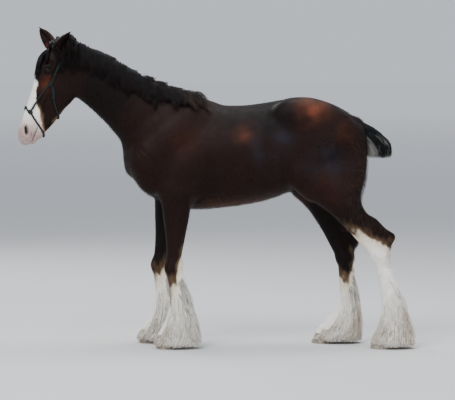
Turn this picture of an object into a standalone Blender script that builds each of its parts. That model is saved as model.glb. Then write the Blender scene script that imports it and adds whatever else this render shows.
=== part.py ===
"""A young Clydesdale, standing in a rope halter, at life size. Metres, +Z up.

The horse faces -X, and its near (left) side faces -Y. Its flesh is one smooth body, a blend of
rounded forms placed on named joints, which is meshed and then parted with thin cuts. Mane,
forelock, tail and leg feather are flat tapered locks, rooted in the piece that they grow from.
"""

import math
import random

import bmesh
import bpy
import numpy as np
import openvdb
from mathutils import Matrix, Vector
from mathutils.bvhtree import BVHTree

GAP = 0.0003  # between two solids that meet
FINENESS = {  # each piece of flesh: (the grid that it is measured on, its triangles)
    "torso": (0.014, 1450),
    "neck": (0.012, 500),
    "head": (0.0038, 2200),
    "ear": (0.003, 220),
    "forearm": (0.007, 320),
    "gaskin": (0.008, 350),
    "hock": (0.006, 240),
    "cannon": (0.006, 240),
    "tail": (0.006, 140),
}
NEAR, FAR = -1, 1  # the two sides, as the sign of Y
SIDE_NAMES = {NEAR: "left", FAR: "right"}

# The back, chest and croup: (x, back height, belly height, half width, roundness above, below)
TRUNK = (
    (-0.45, 1.12, 0.90, 0.085, 2.0, 2.0),
    (-0.38, 1.20, 0.82, 0.120, 1.9, 2.0),
    (-0.28, 1.27, 0.765, 0.145, 1.8, 2.1),
    (-0.18, 1.305, 0.735, 0.165, 1.7, 2.2),
    (-0.09, 1.312, 0.730, 0.188, 1.7, 2.3),
    (0.00, 1.293, 0.737, 0.205, 1.8, 2.3),
    (0.13, 1.288, 0.752, 0.214, 1.9, 2.3),
    (0.26, 1.303, 0.778, 0.210, 1.9, 2.2),
    (0.36, 1.320, 0.812, 0.200, 1.9, 2.1),
    (0.47, 1.331, 0.860, 0.195, 2.0, 2.0),
    (0.57, 1.312, 0.890, 0.180, 2.0, 2.0),
    (0.67, 1.268, 0.930, 0.145, 2.0, 2.0),
    (0.75, 1.210, 0.980, 0.085, 2.0, 2.0),
)
TRUNK_AXIS_Z = 1.05

# The neck, from inside the shoulders to the poll: (share, to the crest, to the throat, half width)
NECK_FROM, NECK_TO = (-0.12, 1.12), (-0.80, 1.50)
NECK = (
    (0.00, 0.195, 0.300, 0.120),
    (0.17, 0.182, 0.300, 0.118),
    (0.36, 0.158, 0.235, 0.098),
    (0.54, 0.146, 0.178, 0.082),
    (0.72, 0.150, 0.140, 0.074),
    (0.88, 0.145, 0.118, 0.070),
    (1.00, 0.120, 0.110, 0.066),
)

# The head hangs from the poll. Its own axes: down the face, out of the face, and to the far side.
POLL = (-0.80, 0.0, 1.58)
HEAD_PITCH = math.radians(70.8)  # the face line below the horizon
HEAD_YAW = math.radians(16.0)  # the nose turned towards the near side
HEAD_TOP, HEAD_BOTTOM = -0.02, 0.49
HEAD = (  # (down the face, to the face line, to the jaw, half width)
    (-0.02, 0.045, 0.045, 0.055),
    (0.04, 0.098, 0.080, 0.064),
    (0.10, 0.113, 0.100, 0.070),
    (0.16, 0.114, 0.108, 0.072),
    (0.22, 0.110, 0.108, 0.066),
    (0.28, 0.107, 0.096, 0.057),
    (0.34, 0.106, 0.076, 0.050),
    (0.40, 0.107, 0.048, 0.045),
    (0.45, 0.106, 0.012, 0.043),
    (0.49, 0.094, -0.020, 0.038),
)
EYE = (0.142, 0.074, 0.073)  # down the face, out of the face, to the side
EYE_RADIUS = 0.0205
LID = 0.004  # how thick the lids are
EAR_LENGTH = 0.150
EAR_ROOT = (0.012, 0.062, 0.048)  # down the face, out of the face, to the side
EAR_LIE = {  # where each ear points, and where its cup faces
    NEAR: ((0.54, -0.62, 0.57), (0.50, -0.25, -0.70)),
    FAR: ((-0.50, 0.45, 0.72), (-0.55, -0.80, 0.10)),
}
EAR = (  # (share, to the cup's rim, to the back, half width)
    (0.00, 0.020, 0.024, 0.026),
    (0.22, 0.018, 0.026, 0.036),
    (0.50, 0.013, 0.022, 0.034),
    (0.75, 0.009, 0.015, 0.023),
    (0.92, 0.004, 0.008, 0.009),
    (1.00, 0.002, 0.003, 0.003),
)

# Each leg is its joints: (x, z) from the top down, and how far each is from the middle
FORE_JOINTS = {
    NEAR: ((-0.212, 0.82), (-0.230, 0.425), (-0.196, 0.160), (-0.244, 0.058)),
    FAR: ((-0.250, 0.82), (-0.310, 0.420), (-0.284, 0.160), (-0.345, 0.058)),
}
FORE_SIDE = (0.120, 0.128, 0.132, 0.136)
HIND_JOINTS = {
    NEAR: ((0.560, 0.86), (0.868, 0.495), (0.936, 0.165), (0.892, 0.058)),
    FAR: ((0.500, 0.85), (0.690, 0.470), (0.704, 0.165), (0.588, 0.058)),
}
HIND_SIDE = (0.125, 0.118, 0.122, 0.128)
HOCK_POINT = {NEAR: (0.928, 0.592), FAR: (0.752, 0.563)}

# Thickness along each length of leg: (share, in front of the bone line, behind it, half width)
FOREARM = (
    (0.00, 0.088, 0.085, 0.064),
    (0.30, 0.070, 0.074, 0.056),
    (0.60, 0.050, 0.057, 0.045),
    (0.85, 0.041, 0.043, 0.039),
    (1.00, 0.042, 0.038, 0.040),
)
FORE_CANNON = (
    (0.00, 0.041, 0.037, 0.039),
    (0.25, 0.032, 0.036, 0.030),
    (0.60, 0.030, 0.037, 0.028),
    (0.85, 0.033, 0.040, 0.032),
    (1.00, 0.038, 0.044, 0.037),
)
GASKIN = (
    (0.00, 0.100, 0.150, 0.075),
    (0.25, 0.068, 0.118, 0.067),
    (0.50, 0.052, 0.090, 0.054),
    (0.75, 0.048, 0.056, 0.041),
    (1.00, 0.047, 0.045, 0.041),
)
HIND_CANNON = (
    (0.00, 0.046, 0.043, 0.041),
    (0.25, 0.035, 0.040, 0.031),
    (0.60, 0.031, 0.039, 0.029),
    (0.85, 0.033, 0.042, 0.032),
    (1.00, 0.038, 0.045, 0.037),
)
PASTERN = (
    (0.00, 0.037, 0.041, 0.037),
    (0.50, 0.035, 0.038, 0.036),
    (1.00, 0.047, 0.044, 0.047),
)
HOOF_TOP = 0.051  # above the floor, at the middle of the coronet
HOOF_SLOPE = 0.40  # how fast its top falls towards the heel
HOOF_RINGS = (  # (share of the height, half length, half width, how far ahead of the coronet)
    (1.00, 0.046, 0.047, 0.000),
    (0.80, 0.050, 0.050, 0.003),
    (0.10, 0.063, 0.060, 0.014),
    (0.00, 0.061, 0.058, 0.014),
)
HOOF_SIDES = 20

DOCK_FROM, DOCK_TO = (0.735, 1.185), (0.870, 1.075)
DOCK_RADII = (0.040, 0.020)

# The lower leg's hair, out to its tips: (share of the way down, in front, behind, half width)
FEATHER_TO = 0.010  # above the floor
FORE_FEATHER_FROM, HIND_FEATHER_FROM = 0.43, 0.40
HAIR_LEAN = 0.07  # a foot that is further ahead of its fetlock takes its hair along
FORE_FEATHER = (
    (0.00, 0.040, 0.052, 0.042),
    (0.25, 0.036, 0.080, 0.050),
    (0.50, 0.038, 0.100, 0.062),
    (0.75, 0.060, 0.118, 0.076),
    (1.00, 0.106, 0.134, 0.090),
)
HIND_FEATHER = (
    (0.00, 0.042, 0.058, 0.042),
    (0.25, 0.036, 0.086, 0.050),
    (0.50, 0.038, 0.108, 0.062),
    (0.75, 0.054, 0.130, 0.078),
    (1.00, 0.084, 0.140, 0.092),
)
FEATHER_CORE = 0.5  # how much of the way out to the tips the hair is solid
# Rows of locks: (share of the way down to the root, length, from the front, to the back, how many)
FEATHER_ROWS = (
    (0.00, 0.160, 0.72, 0.96, 1),
    (0.22, 0.170, 0.74, 0.92, 1),
    (0.44, 0.205, 0.58, 0.98, 2),
    (0.63, 0.150, 0.36, 0.80, 2),
    (0.70, 0.128, 0.00, 0.40, 2),
)
FEATHER_LOCK = (0.042, 0.0080)  # half width and half thickness of a lock, at its widest

MANE_FROM, MANE_TO = (-0.765, 1.632), (-0.130, 1.345)
MANE_LAYERS = (  # (how many, how long, how far the roots stand up)
    (12, 0.215, 0.022),
    (8, 0.140, 0.034),
)
MANE_LOCK = (0.042, 0.0075)
FORELOCK = (  # root on the head, sideways lean, length
    ((0.005, 0.100, -0.020), 0.05, 0.180),
    ((0.000, 0.098, 0.000), -0.14, 0.205),
    ((0.010, 0.104, 0.018), -0.30, 0.190),
    ((0.022, 0.110, -0.008), -0.45, 0.160),
    ((0.018, 0.108, 0.008), -0.70, 0.145),
    ((0.008, 0.100, -0.012), -1.20, 0.120),
)
FORELOCK_LOCK = (0.018, 0.0055)
TAIL_LOCK = (0.027, 0.0080)
TAIL_END = (0.870, 1.004)  # the middle of its blunt end
TAIL_SPREAD = (0.060, 0.054)  # half its size there, along and across
TAIL_CORE = ((0.815, 1.150), (0.878, 1.040), 0.034)  # from, to, half thickness
TAIL_ROWS = (  # (share along the dock, how many round it, how far out it ends)
    (0.67, 6, 1.0),
    (0.92, 3, 0.35),
)

# Colours, and each with its roughness
COAT = (0.055, 0.026, 0.018), 0.45
DARK_HAIR = (0.012, 0.011, 0.012), 0.55
PALE_HAIR = (0.78, 0.74, 0.66), 0.75
HORN = (0.42, 0.37, 0.30), 0.40
WET = (0.010, 0.007, 0.006), 0.08
ROPE = (0.012, 0.045, 0.038), 0.70

ROPE_RADIUS = 0.0052
ROPE_CLEAR = 0.0012  # from the rope to what it lies on
KNOT_CLEAR = 0.0022  # from a knot to the end of a strand that it holds
ROPE_STEP = 0.020  # between the points of a strand
DOUBLED_RADIUS = 0.0085  # where the rope's loose end lies along a strand
DOUBLED_LENGTH = 0.085  # that far from the cheek's tie
KNOT_RADIUS = 0.0110
LIFT_ROUNDS = 4


def smooth_rows(rows, t):
    """The values of a table of rows (t, value...) at t, along smooth curves through the rows."""
    rows = np.asarray(rows, float)
    knots, values = rows[:, 0], rows[:, 1:]
    slopes = np.gradient(values, knots, axis=0)
    t = np.clip(t, knots[0], knots[-1])
    i = np.clip(np.searchsorted(knots, t, side="right") - 1, 0, len(knots) - 2)
    width = (knots[i + 1] - knots[i])[:, None]
    s = (t - knots[i])[:, None] / width
    rise = s * s * (3 - 2 * s)
    return (
        values[i] * (1 - rise)
        + values[i + 1] * rise
        + slopes[i] * width * s * (1 - s) ** 2
        - slopes[i + 1] * width * s * s * (1 - s)
    )


def unit(v):
    v = np.asarray(v, float)
    return v / np.linalg.norm(v)


def frame_along(start, end, lateral):
    """The unit axes along a line, to its front or upper side, and sideways, and its length."""
    start, end, lateral = (np.asarray(v, float) for v in (start, end, lateral))
    length = np.linalg.norm(end - start)
    along = (end - start) / length
    side = unit(lateral - along * (lateral @ along))
    return along, np.cross(side, along), side, length


SIDEWAYS = (0.0, 1.0, 0.0)


class Form:
    """One rounded form: a signed distance, roughly, and the box outside which it is ignored."""

    def __init__(self, distance, low, high):
        self.distance = distance
        self.low, self.high = np.asarray(low, float), np.asarray(high, float)


def sweep(start, end, rows, lateral=SIDEWAYS, cap=None):
    """A form along a line. A row: share, reach to the front, to the back, half width, and
    if the section isn't an ellipse, its power in front and behind."""
    along, front, side, length = frame_along(start, end, lateral)
    start = np.asarray(start, float)
    table = np.array([tuple(r) + (2.0, 2.0) * (len(r) == 4) for r in rows], float)

    def distance(points):
        local = points - start
        s = local @ along
        reach = smooth_rows(table, s / length)
        ahead, behind, half = reach[:, 0], reach[:, 1], reach[:, 2]
        across = local @ front - (ahead - behind) / 2
        deep = (ahead + behind) / 2
        power = np.where(across > 0, reach[:, 3], reach[:, 4])
        sideways = local @ side
        over = np.maximum(np.maximum(-s, s - length), 0)
        end_round = np.minimum(deep, half) if cap is None else cap
        q = (
            np.abs(across / deep) ** power
            + np.abs(sideways / half) ** power
            + (over / end_round) ** power
        ) ** (1 / power)
        r = np.sqrt(across**2 + sideways**2 + over**2)
        return np.where(q > 1e-6, r - r / np.maximum(q, 1e-6), -np.minimum(deep, half))

    widest = table[:, 1:4].max()
    ends = np.array([start, end])
    return Form(distance, ends.min(0) - widest, ends.max(0) + widest)


def egg(start, end, deep, wide, lateral=SIDEWAYS):
    """An ellipsoid from one point to another, this deep and this wide at its middle."""
    along, front, side, length = frame_along(start, end, lateral)
    axes = np.array([along, front, side])
    radii = np.array([length / 2, deep, wide])
    middle = (np.asarray(start, float) + np.asarray(end, float)) / 2

    def distance(points):
        local = (points - middle) @ axes.T
        near = np.linalg.norm(local / radii, axis=1)
        steep = np.linalg.norm(local / radii**2, axis=1)
        return near * (near - 1) / np.maximum(steep, 1e-9)

    reach = radii.max()
    return Form(distance, middle - reach, middle + reach)


def ball(middle, radius):
    middle = np.asarray(middle, float)
    return Form(
        lambda points: np.linalg.norm(points - middle, axis=1) - radius,
        middle - radius,
        middle + radius,
    )


FIELD_MARGIN = 0.07  # how far past its box a form is still measured
FAR_OFF = 0.25  # the distance given to a point that is near no form


def field(forms, points):
    """The blended body's signed distance, roughly, at each point. A form comes with its blend
    radius, and a negative radius carves it out instead."""
    value = np.full(len(points), FAR_OFF)
    for form, blend in forms:
        margin = FIELD_MARGIN + abs(blend)
        inside = np.all((points > form.low - margin) & (points < form.high + margin), axis=1)
        if not inside.any():
            continue
        other = form.distance(points[inside])
        old = value[inside]
        if blend < 0:
            h = np.clip(0.5 - 0.5 * (old + other) / blend, 0, 1)
            value[inside] = old * h - other * (1 - h) - blend * h * (1 - h)
        else:
            h = np.clip(0.5 + 0.5 * (old - other) / blend, 0, 1)
            value[inside] = old * (1 - h) + other * h - blend * h * (1 - h)
    return value


def outward(forms, points, step=0.003):
    """The unit direction out of the blended body at each point."""
    slope = np.stack(
        [field(forms, points + d) - field(forms, points - d) for d in np.eye(3) * step], -1
    )
    return slope / np.maximum(np.linalg.norm(slope, axis=1, keepdims=True), 1e-9)


def set_off(forms, points, off, rounds=4):
    """The points moved to this distance from the blended body's surface."""
    for _ in range(rounds):
        points = points + outward(forms, points) * (off - field(forms, points))[:, None]
    return points


def flat(x, z, y=0.0):
    return np.array((x, y, z))


def head_axes():
    """The head's three axes as rows: down the face, out of the face, to the far side."""
    down = (-math.cos(HEAD_PITCH), 0.0, -math.sin(HEAD_PITCH))
    out = (-math.sin(HEAD_PITCH), 0.0, math.cos(HEAD_PITCH))
    turn = np.array(Matrix.Rotation(HEAD_YAW, 3, "Z"))
    return np.array([turn @ down, turn @ out, turn @ SIDEWAYS])


HEAD_AXES = head_axes()


def on_head(down, out, side=0.0):
    return np.array(POLL) + np.array((down, out, side)) @ HEAD_AXES


def trunk_forms():
    front, back = TRUNK[0][0], TRUNK[-1][0]
    rows = [
        ((back - x) / (back - front), top - TRUNK_AXIS_Z, TRUNK_AXIS_Z - bottom, *rest)
        for x, top, bottom, *rest in reversed(TRUNK)
    ]
    yield sweep(flat(back, TRUNK_AXIS_Z), flat(front, TRUNK_AXIS_Z), rows, cap=0.05), 0.01
    for side in (NEAR, FAR):
        # shoulder blade, upper arm, breast
        yield egg(flat(-0.08, 1.26, 0.085 * side), flat(-0.41, 0.94, 0.115 * side), 0.11, 0.070), 0.05
        yield egg(flat(-0.12, 1.06, 0.13 * side), flat(-0.26, 0.78, 0.13 * side), 0.095, 0.062), 0.04
        yield egg(flat(-0.40, 1.10, 0.085 * side), flat(-0.34, 0.82, 0.09 * side), 0.078, 0.066), 0.07
        # croup, stifle, buttock
        yield egg(flat(0.34, 1.27, 0.105 * side), flat(0.74, 1.10, 0.10 * side), 0.125, 0.090), 0.05
        yield egg(flat(0.48, 1.22, 0.12 * side), flat(0.49, 0.80, 0.125 * side), 0.12, 0.075), 0.05
        yield egg(flat(0.735, 1.18, 0.07 * side), flat(0.70, 0.76, 0.10 * side), 0.080, 0.068), 0.05
        # elbow, hip bone, muscle over the stifle
        yield egg(flat(-0.10, 0.90, 0.150 * side), flat(-0.14, 0.80, 0.135 * side), 0.040, 0.036), 0.03
        yield egg(flat(0.32, 1.27, 0.120 * side), flat(0.46, 1.20, 0.145 * side), 0.060, 0.045), 0.07
        yield egg(flat(0.44, 1.00, 0.150 * side), flat(0.49, 0.84, 0.150 * side), 0.075, 0.055), 0.05


def trunk_carvings():
    for side in (NEAR, FAR):
        # groove before the thigh, groove behind the elbow, groove down the back of the thigh
        yield egg(flat(0.400, 1.25, 0.228 * side), flat(0.405, 0.93, 0.240 * side), 0.024, 0.040), -0.030
        yield egg(flat(-0.035, 1.06, 0.230 * side), flat(-0.070, 0.80, 0.215 * side), 0.020, 0.036), -0.025
        yield egg(flat(0.655, 1.10, 0.205 * side), flat(0.660, 0.86, 0.200 * side), 0.018, 0.038), -0.030
        # groove along the neck over the windpipe
        yield egg(flat(-0.70, 1.33, 0.115 * side), flat(-0.42, 1.06, 0.165 * side), 0.018, 0.036), -0.030


def sheath_forms():
    yield egg(flat(0.385, 0.850), flat(0.505, 0.835), 0.036, 0.030), 0.03


def neck_forms():
    yield sweep(flat(*NECK_FROM), flat(*NECK_TO), NECK), 0.06


def head_egg(start, end, deep, wide, side=1):
    """An ellipsoid between two places on the head, this deep along the face's own axis."""
    ends = [on_head(down, out, across * side) for down, out, across in (start, end)]
    return egg(*ends, deep, wide, HEAD_AXES[2])


def eye_middle(side):
    down, out, across = EYE
    return on_head(down, out, across * side)


def head_forms():
    length = HEAD_BOTTOM - HEAD_TOP
    rows = [((down - HEAD_TOP) / length, *reach, 2.6, 2.2) for down, *reach in HEAD]
    ends = on_head(HEAD_TOP, 0), on_head(HEAD_BOTTOM, 0)
    yield sweep(*ends, rows, HEAD_AXES[2], cap=0.025), 0.05
    for side in (NEAR, FAR):
        # cheek, bar of the jaw, cheek bone, brow
        yield head_egg((0.07, -0.03, 0.040), (0.30, -0.055, 0.034), 0.078, 0.030, side), 0.02
        yield head_egg((0.22, -0.075, 0.036), (0.48, -0.004, 0.020), 0.024, 0.018, side), 0.03
        yield head_egg((0.15, 0.055, 0.066), (0.36, 0.040, 0.040), 0.012, 0.014, side), 0.02
        yield head_egg((0.085, 0.080, 0.056), (0.200, 0.066, 0.062), 0.036, 0.034, side), 0.02
        # arch of bone behind the eye
        yield head_egg((0.045, 0.030, 0.058), (0.155, 0.062, 0.074), 0.014, 0.013, side), 0.025
        # nostril's rim
        yield head_egg((0.432, 0.086, 0.030), (0.516, 0.058, 0.033), 0.032, 0.024, side), 0.02
    # upper lip, lower lip, chin
    yield head_egg((0.44, 0.070, 0), (0.553, 0.048, 0), 0.044, 0.040), 0.02
    yield head_egg((0.43, 0.008, 0), (0.535, 0.016, 0), 0.022, 0.030), 0.015
    yield head_egg((0.435, -0.012, 0), (0.495, -0.006, 0), 0.022, 0.026), 0.015
    for side in (NEAR, FAR):
        yield ball(eye_middle(side), EYE_RADIUS + LID), 0.008


def head_carvings():
    for side in (NEAR, FAR):
        # nostril and the fold over it, line of the mouth
        yield head_egg((0.448, 0.086, 0.044), (0.502, 0.062, 0.046), 0.012, 0.024, side), -0.005
        yield head_egg((0.432, 0.094, 0.044), (0.470, 0.090, 0.048), 0.007, 0.013, side), -0.005
        yield head_egg((0.420, 0.020, 0.046), (0.545, 0.024, 0.020), 0.0034, 0.011, side), -0.003
        # hollow over the eye, opening of the lids
        yield head_egg((0.070, 0.088, 0.068), (0.115, 0.096, 0.068), 0.012, 0.014, side), -0.015
        yield head_egg((0.120, 0.078, 0.096), (0.165, 0.069, 0.094), 0.0115, 0.013, side), -0.003
    # between the lips in front
    lips = on_head(0.540, 0.025, -0.020), on_head(0.540, 0.025, 0.020)
    yield egg(*lips, 0.0034, 0.012, HEAD_AXES[0]), -0.003


def leg_line(joints, sides, side):
    return [flat(x, z, y * side) for (x, z), y in zip(joints, sides)]


def below(point, away):
    """The pastern's line carried on past its end, into the hoof."""
    return point + (point - away) * 0.3


def fore_forms(side):
    elbow, knee, fetlock, coronet = leg_line(FORE_JOINTS[side], FORE_SIDE, side)
    up = flat(0, 1)
    yield sweep(elbow, knee, FOREARM), 0.05
    yield sweep(knee, fetlock, FORE_CANNON), 0.015
    yield egg(knee + up * 0.06, knee - up * 0.055, 0.047, 0.044), 0.02
    yield egg(knee + flat(0.034, 0.045), knee + flat(0.036, -0.005), 0.018, 0.018), 0.02
    yield sweep(fetlock, below(coronet, fetlock), PASTERN), 0.015


def hind_forms(side):
    stifle, hock, fetlock, coronet = leg_line(HIND_JOINTS[side], HIND_SIDE, side)
    point = flat(*HOCK_POINT[side], HIND_SIDE[1] * side)
    up = flat(0, 1)
    yield sweep(stifle, hock, GASKIN), 0.06
    yield sweep(hock, fetlock, HIND_CANNON), 0.015
    yield egg(hock + up * 0.05, hock - up * 0.06, 0.050, 0.044), 0.02
    # heel bone, the tendon down to it, and the web of skin before the tendon
    yield egg(hock * 1.15 - point * 0.15, point * 1.12 - hock * 0.12, 0.027, 0.025), 0.02
    tendon = stifle * 0.42 + hock * 0.58 + flat(0.045, 0.055)
    yield egg(tendon * 1.1 - point * 0.1, point * 1.05 - tendon * 0.05, 0.018, 0.016), 0.03
    web = tendon * 0.5 + point * 0.5 - flat(0.022, 0.028)
    yield egg(web * 1.6 - hock * 0.6, web * 0.4 + hock * 0.6, 0.040, 0.014), 0.03
    yield egg(point - flat(0.085, -0.010), point, 0.022, 0.015), 0.03
    yield sweep(fetlock, below(coronet, fetlock), PASTERN), 0.015


def dock_forms():
    start, end = flat(*DOCK_FROM), flat(*DOCK_TO)
    rows = [(share, *(DOCK_RADII[share],) * 3) for share in (0, 1)]
    yield sweep(start, end, rows), 0.03


BODY = [
    *trunk_forms(),
    *neck_forms(),
    *trunk_carvings(),
    *sheath_forms(),
    *head_forms(),
    *head_carvings(),
    *(form for side in (NEAR, FAR) for form in fore_forms(side)),
    *(form for side in (NEAR, FAR) for form in hind_forms(side)),
    *dock_forms(),
]


NECK_BASE = ((-0.115, 0.0, 1.36), (-0.66, 0.0, 0.75))
NAPE = ((-0.775, 0.0, 1.64), (-0.977, 0.0, -0.211))
FORE_TOP = ((0.0, 0.0, 0.70), (0.0, 0.0, 1.0))
HIND_TOP = ((0.39, 0.0, 0.79), (-0.237, 0.0, 0.971))
KNEE = ((0.0, 0.0, 0.500), (0.0, 0.0, 1.0))
HOCK = ((0.0, 0.0, 0.618), (0.0, 0.0, 1.0))
HOCK_LOW = ((0.0, 0.0, 0.435), (0.0, 0.0, 1.0))
DOCK = ((0.806, 0.0, 1.15), (1.0, 0.0, 0.0))
FLOOR = ((0.0, 0.0, 0.004), (0.0, 0.0, 1.0))  # the hair stays this far above the floor


def surface(forms, low, high, step):
    """The closed surface of the blended forms inside a box, as points and quads."""
    axes = [np.arange(a, b + step, step) for a, b in zip(low, high)]
    shape = [len(a) for a in axes]
    points = np.stack(np.meshgrid(*axes, indexing="ij"), -1).reshape(-1, 3)
    value = field(forms, points).reshape(shape)
    for axis in range(3):
        for end in (0, -1):
            edge = value.swapaxes(0, axis)
            edge[end] = np.abs(edge[end]) + step / 4
    grid = openvdb.FloatGrid(1.0)
    grid.copyFromArray(value.astype(np.float32))
    corners, quads = grid.convertToQuads()
    return np.asarray(low) + corners * step, quads


def new_object(name, points, faces):
    mesh = bpy.data.meshes.new(name)
    mesh.from_pydata([tuple(p) for p in points], [], [tuple(f) for f in faces])
    obj = bpy.data.objects.new(name, mesh)
    bpy.context.scene.collection.objects.link(obj)
    return obj


def applied(obj):
    """The object with its modifiers made part of its mesh."""
    graph = bpy.context.evaluated_depsgraph_get()
    mesh = bpy.data.meshes.new_from_object(obj.evaluated_get(graph))
    obj.modifiers.clear()
    old, obj.data = obj.data, mesh
    bpy.data.meshes.remove(old)
    return obj


def largest(obj):
    """The object with only its largest closed surface left."""
    bm = bmesh.new()
    bm.from_mesh(obj.data)
    left, pieces = set(bm.faces), []
    while left:
        piece, edge = set(), [left.pop()]
        while edge:
            face = edge.pop()
            piece.add(face)
            near = {f for e in face.edges for f in e.link_faces} & left
            left -= near
            edge.extend(near)
        pieces.append(piece)
    pieces.sort(key=lambda faces: sum(f.calc_area() for f in faces))
    for piece in pieces[:-1]:
        bmesh.ops.delete(bm, geom=list(piece), context="FACES")
    bm.to_mesh(obj.data)
    bm.free()
    return obj


def cut(obj, planes):
    """Cuts off what lies behind each plane (point, normal) and closes the cut."""
    bm = bmesh.new()
    bm.from_mesh(obj.data)
    for point, normal in planes:
        point = Vector(point) + Vector(normal).normalized() * (GAP / 2)
        geometry = [*bm.verts, *bm.edges, *bm.faces]
        bmesh.ops.bisect_plane(
            bm, geom=geometry, dist=1e-6, plane_co=point, plane_no=normal, clear_inner=True
        )
        bmesh.ops.holes_fill(bm, edges=[e for e in bm.edges if e.is_boundary], sides=0)
    bmesh.ops.triangulate(bm, faces=bm.faces)
    bmesh.ops.recalc_face_normals(bm, faces=bm.faces)
    bm.to_mesh(obj.data)
    bm.free()
    return largest(obj)


def thinned(obj, triangles):
    """The object with about this many triangles."""
    now = sum(len(p.vertices) - 2 for p in obj.data.polygons)
    if now > triangles:
        modifier = obj.modifiers.new("Thin", "DECIMATE")
        modifier.ratio = triangles / now
        applied(obj)
    return obj


def flesh(name, low, high, planes, extra=()):
    """A node: the body inside this box and in front of these planes, with the extra forms."""
    step, triangles = FINENESS[name.split("_")[0]]
    low, high = np.asarray(low), np.asarray(high)
    forms = [
        (form, blend)
        for form, blend in [*BODY, *extra]
        if np.all((form.high > low - FIELD_MARGIN) & (form.low < high + FIELD_MARGIN))
    ]
    points, quads = surface(forms, low, high, step)
    return cut(thinned(new_object(name, points, quads), triangles), planes)


def boolean(obj, others, operation="UNION", solver="EXACT"):
    """The object after one Boolean with the others, which are removed."""
    group = bpy.data.collections.new(obj.name)
    for other in others:
        group.objects.link(other)
    modifier = obj.modifiers.new("Join", "BOOLEAN")
    modifier.operation = operation
    modifier.operand_type = "COLLECTION"
    modifier.collection = group
    modifier.solver = solver
    applied(obj)
    for other in others:
        bpy.data.objects.remove(other)
    bpy.data.collections.remove(group)
    return obj


def joined(obj, others, *how):
    """The object after one Boolean with the others, with only its largest piece left."""
    return largest(boolean(obj, others, *how))


def inflated(obj, off=GAP):
    """A copy of the object, this much fatter all round."""
    mesh = obj.data.copy()
    mesh.update()
    spots = np.array([v.co + v.normal * off for v in obj.data.vertices])
    mesh.vertices.foreach_set("co", spots.ravel())
    copy = bpy.data.objects.new("fatter", mesh)
    bpy.context.scene.collection.objects.link(copy)
    return copy


def behind(plane):
    """The other side of a plane."""
    point, normal = plane
    return point, tuple(-n for n in normal)


LOCK_RINGS = ((0.0, 0.5), (0.30, 1.0), (0.68, 0.88))  # (share, width)


def new_lock(route, outs, size, root_line=None):
    """A flat lock along a route, widest before its middle and pointed at its tip. Its flat side
    faces along outs, and its root lies along root_line."""
    half_wide, half_thick = size
    bm = bmesh.new()
    shares = np.linspace(0, 1, len(route))
    at = [share for share, _ in LOCK_RINGS]
    spots = np.column_stack([np.interp(at, shares, axis) for axis in np.asarray(route).T])
    faces_to = np.column_stack([np.interp(at, shares, axis) for axis in np.asarray(outs).T])
    rings = []
    before = root_line
    for k, (share, wide) in enumerate(LOCK_RINGS):
        along = spots[k + 1] - spots[k] if k + 1 < len(spots) else route[-1] - spots[k]
        across = unit(np.cross(faces_to[k], along))
        if before is not None and across @ before < 0:
            across = -across
        if root_line is not None:
            across = unit(across * share + root_line * (1 - share))
        before = across
        up = unit(np.cross(along, across)) * half_thick * (0.5 + 0.5 * wide)
        edge = across * half_wide * wide
        corners = (spots[k] + edge, spots[k] + up, spots[k] - edge, spots[k] - up)
        rings.append([bm.verts.new(c) for c in corners])
    tip = bm.verts.new(route[-1])
    for k in range(4):
        m = (k + 1) % 4
        for one, two in zip(rings, rings[1:]):
            bm.faces.new((one[k], one[m], two[m], two[k]))
        bm.faces.new((rings[-1][k], rings[-1][m], tip))
    bm.faces.new(rings[0])
    bmesh.ops.triangulate(bm, faces=bm.faces)
    bmesh.ops.recalc_face_normals(bm, faces=bm.faces)
    mesh = bpy.data.meshes.new("lock")
    bm.to_mesh(mesh)
    bm.free()
    lock = bpy.data.objects.new("lock", mesh)
    bpy.context.scene.collection.objects.link(lock)
    return lock


def bell(joints, sides, side, top, rows):
    """One lower leg's hair: where its line starts and ends, and its reach along that line. It
    goes down from behind the knee or hock to the floor, and its front follows the pastern."""
    _, joint, fetlock, coronet = leg_line(joints, sides, side)
    start = joint + (fetlock - joint) * (joint[2] - top) / (joint[2] - fetlock[2])
    lean = fetlock[0] - coronet[0]
    shift = max(0.0, lean - HAIR_LEAN)
    bent = (top - fetlock[2]) / (top - FEATHER_TO)
    leaning = [
        (share, ahead + lean * max(0.0, share - bent) / (1 - bent) - shift * share, *rest)
        for share, ahead, *rest in rows
    ]
    return start, flat(fetlock[0] - shift, FEATHER_TO, fetlock[1]), leaning


def feather_core(start, end, rows, leg=0.034):
    """The inner part of the hair, which is solid."""
    inner = [(share, *(leg + (r - leg) * FEATHER_CORE for r in reach)) for share, *reach in rows]
    return sweep(start, end + (start - end) * 0.12, inner, cap=0.03), 0.012


def feather_lock(start, end, rows, share, length, around, reach_out):
    """A lock of the leg's hair: from the leg outwards and down along the hair's own outline."""
    long = np.linalg.norm(end - start)
    steps = np.array((-0.02, 0.15, 0.35, 0.6, 0.82, 1.0))
    shares = share + np.clip(steps, 0, 1) * length / long
    shares = np.minimum(shares, 1.0)
    tops = smooth_rows(rows, shares)
    line = start + (end - start) * shares[:, None]
    ahead, behind_it, half = tops.T
    across = -(ahead - behind_it) / 2 - (ahead + behind_it) / 2 * math.cos(around)
    outline = line + np.stack([across, half * math.sin(around), 0 * half], -1)
    leg = line + 0.022 * np.array((-math.cos(around), math.sin(around), 0.0))
    out = np.array((0.0, 0.55, 0.82, 0.96, 1.0, reach_out))[:, None]
    route = leg * (1 - out) + outline * out
    facing = (-math.cos(around) * (1.0 if math.cos(around) > 0 else 0.5), math.sin(around), 0.0)
    return new_lock(route, np.tile(unit(facing), (len(route), 1)), FEATHER_LOCK)


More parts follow.
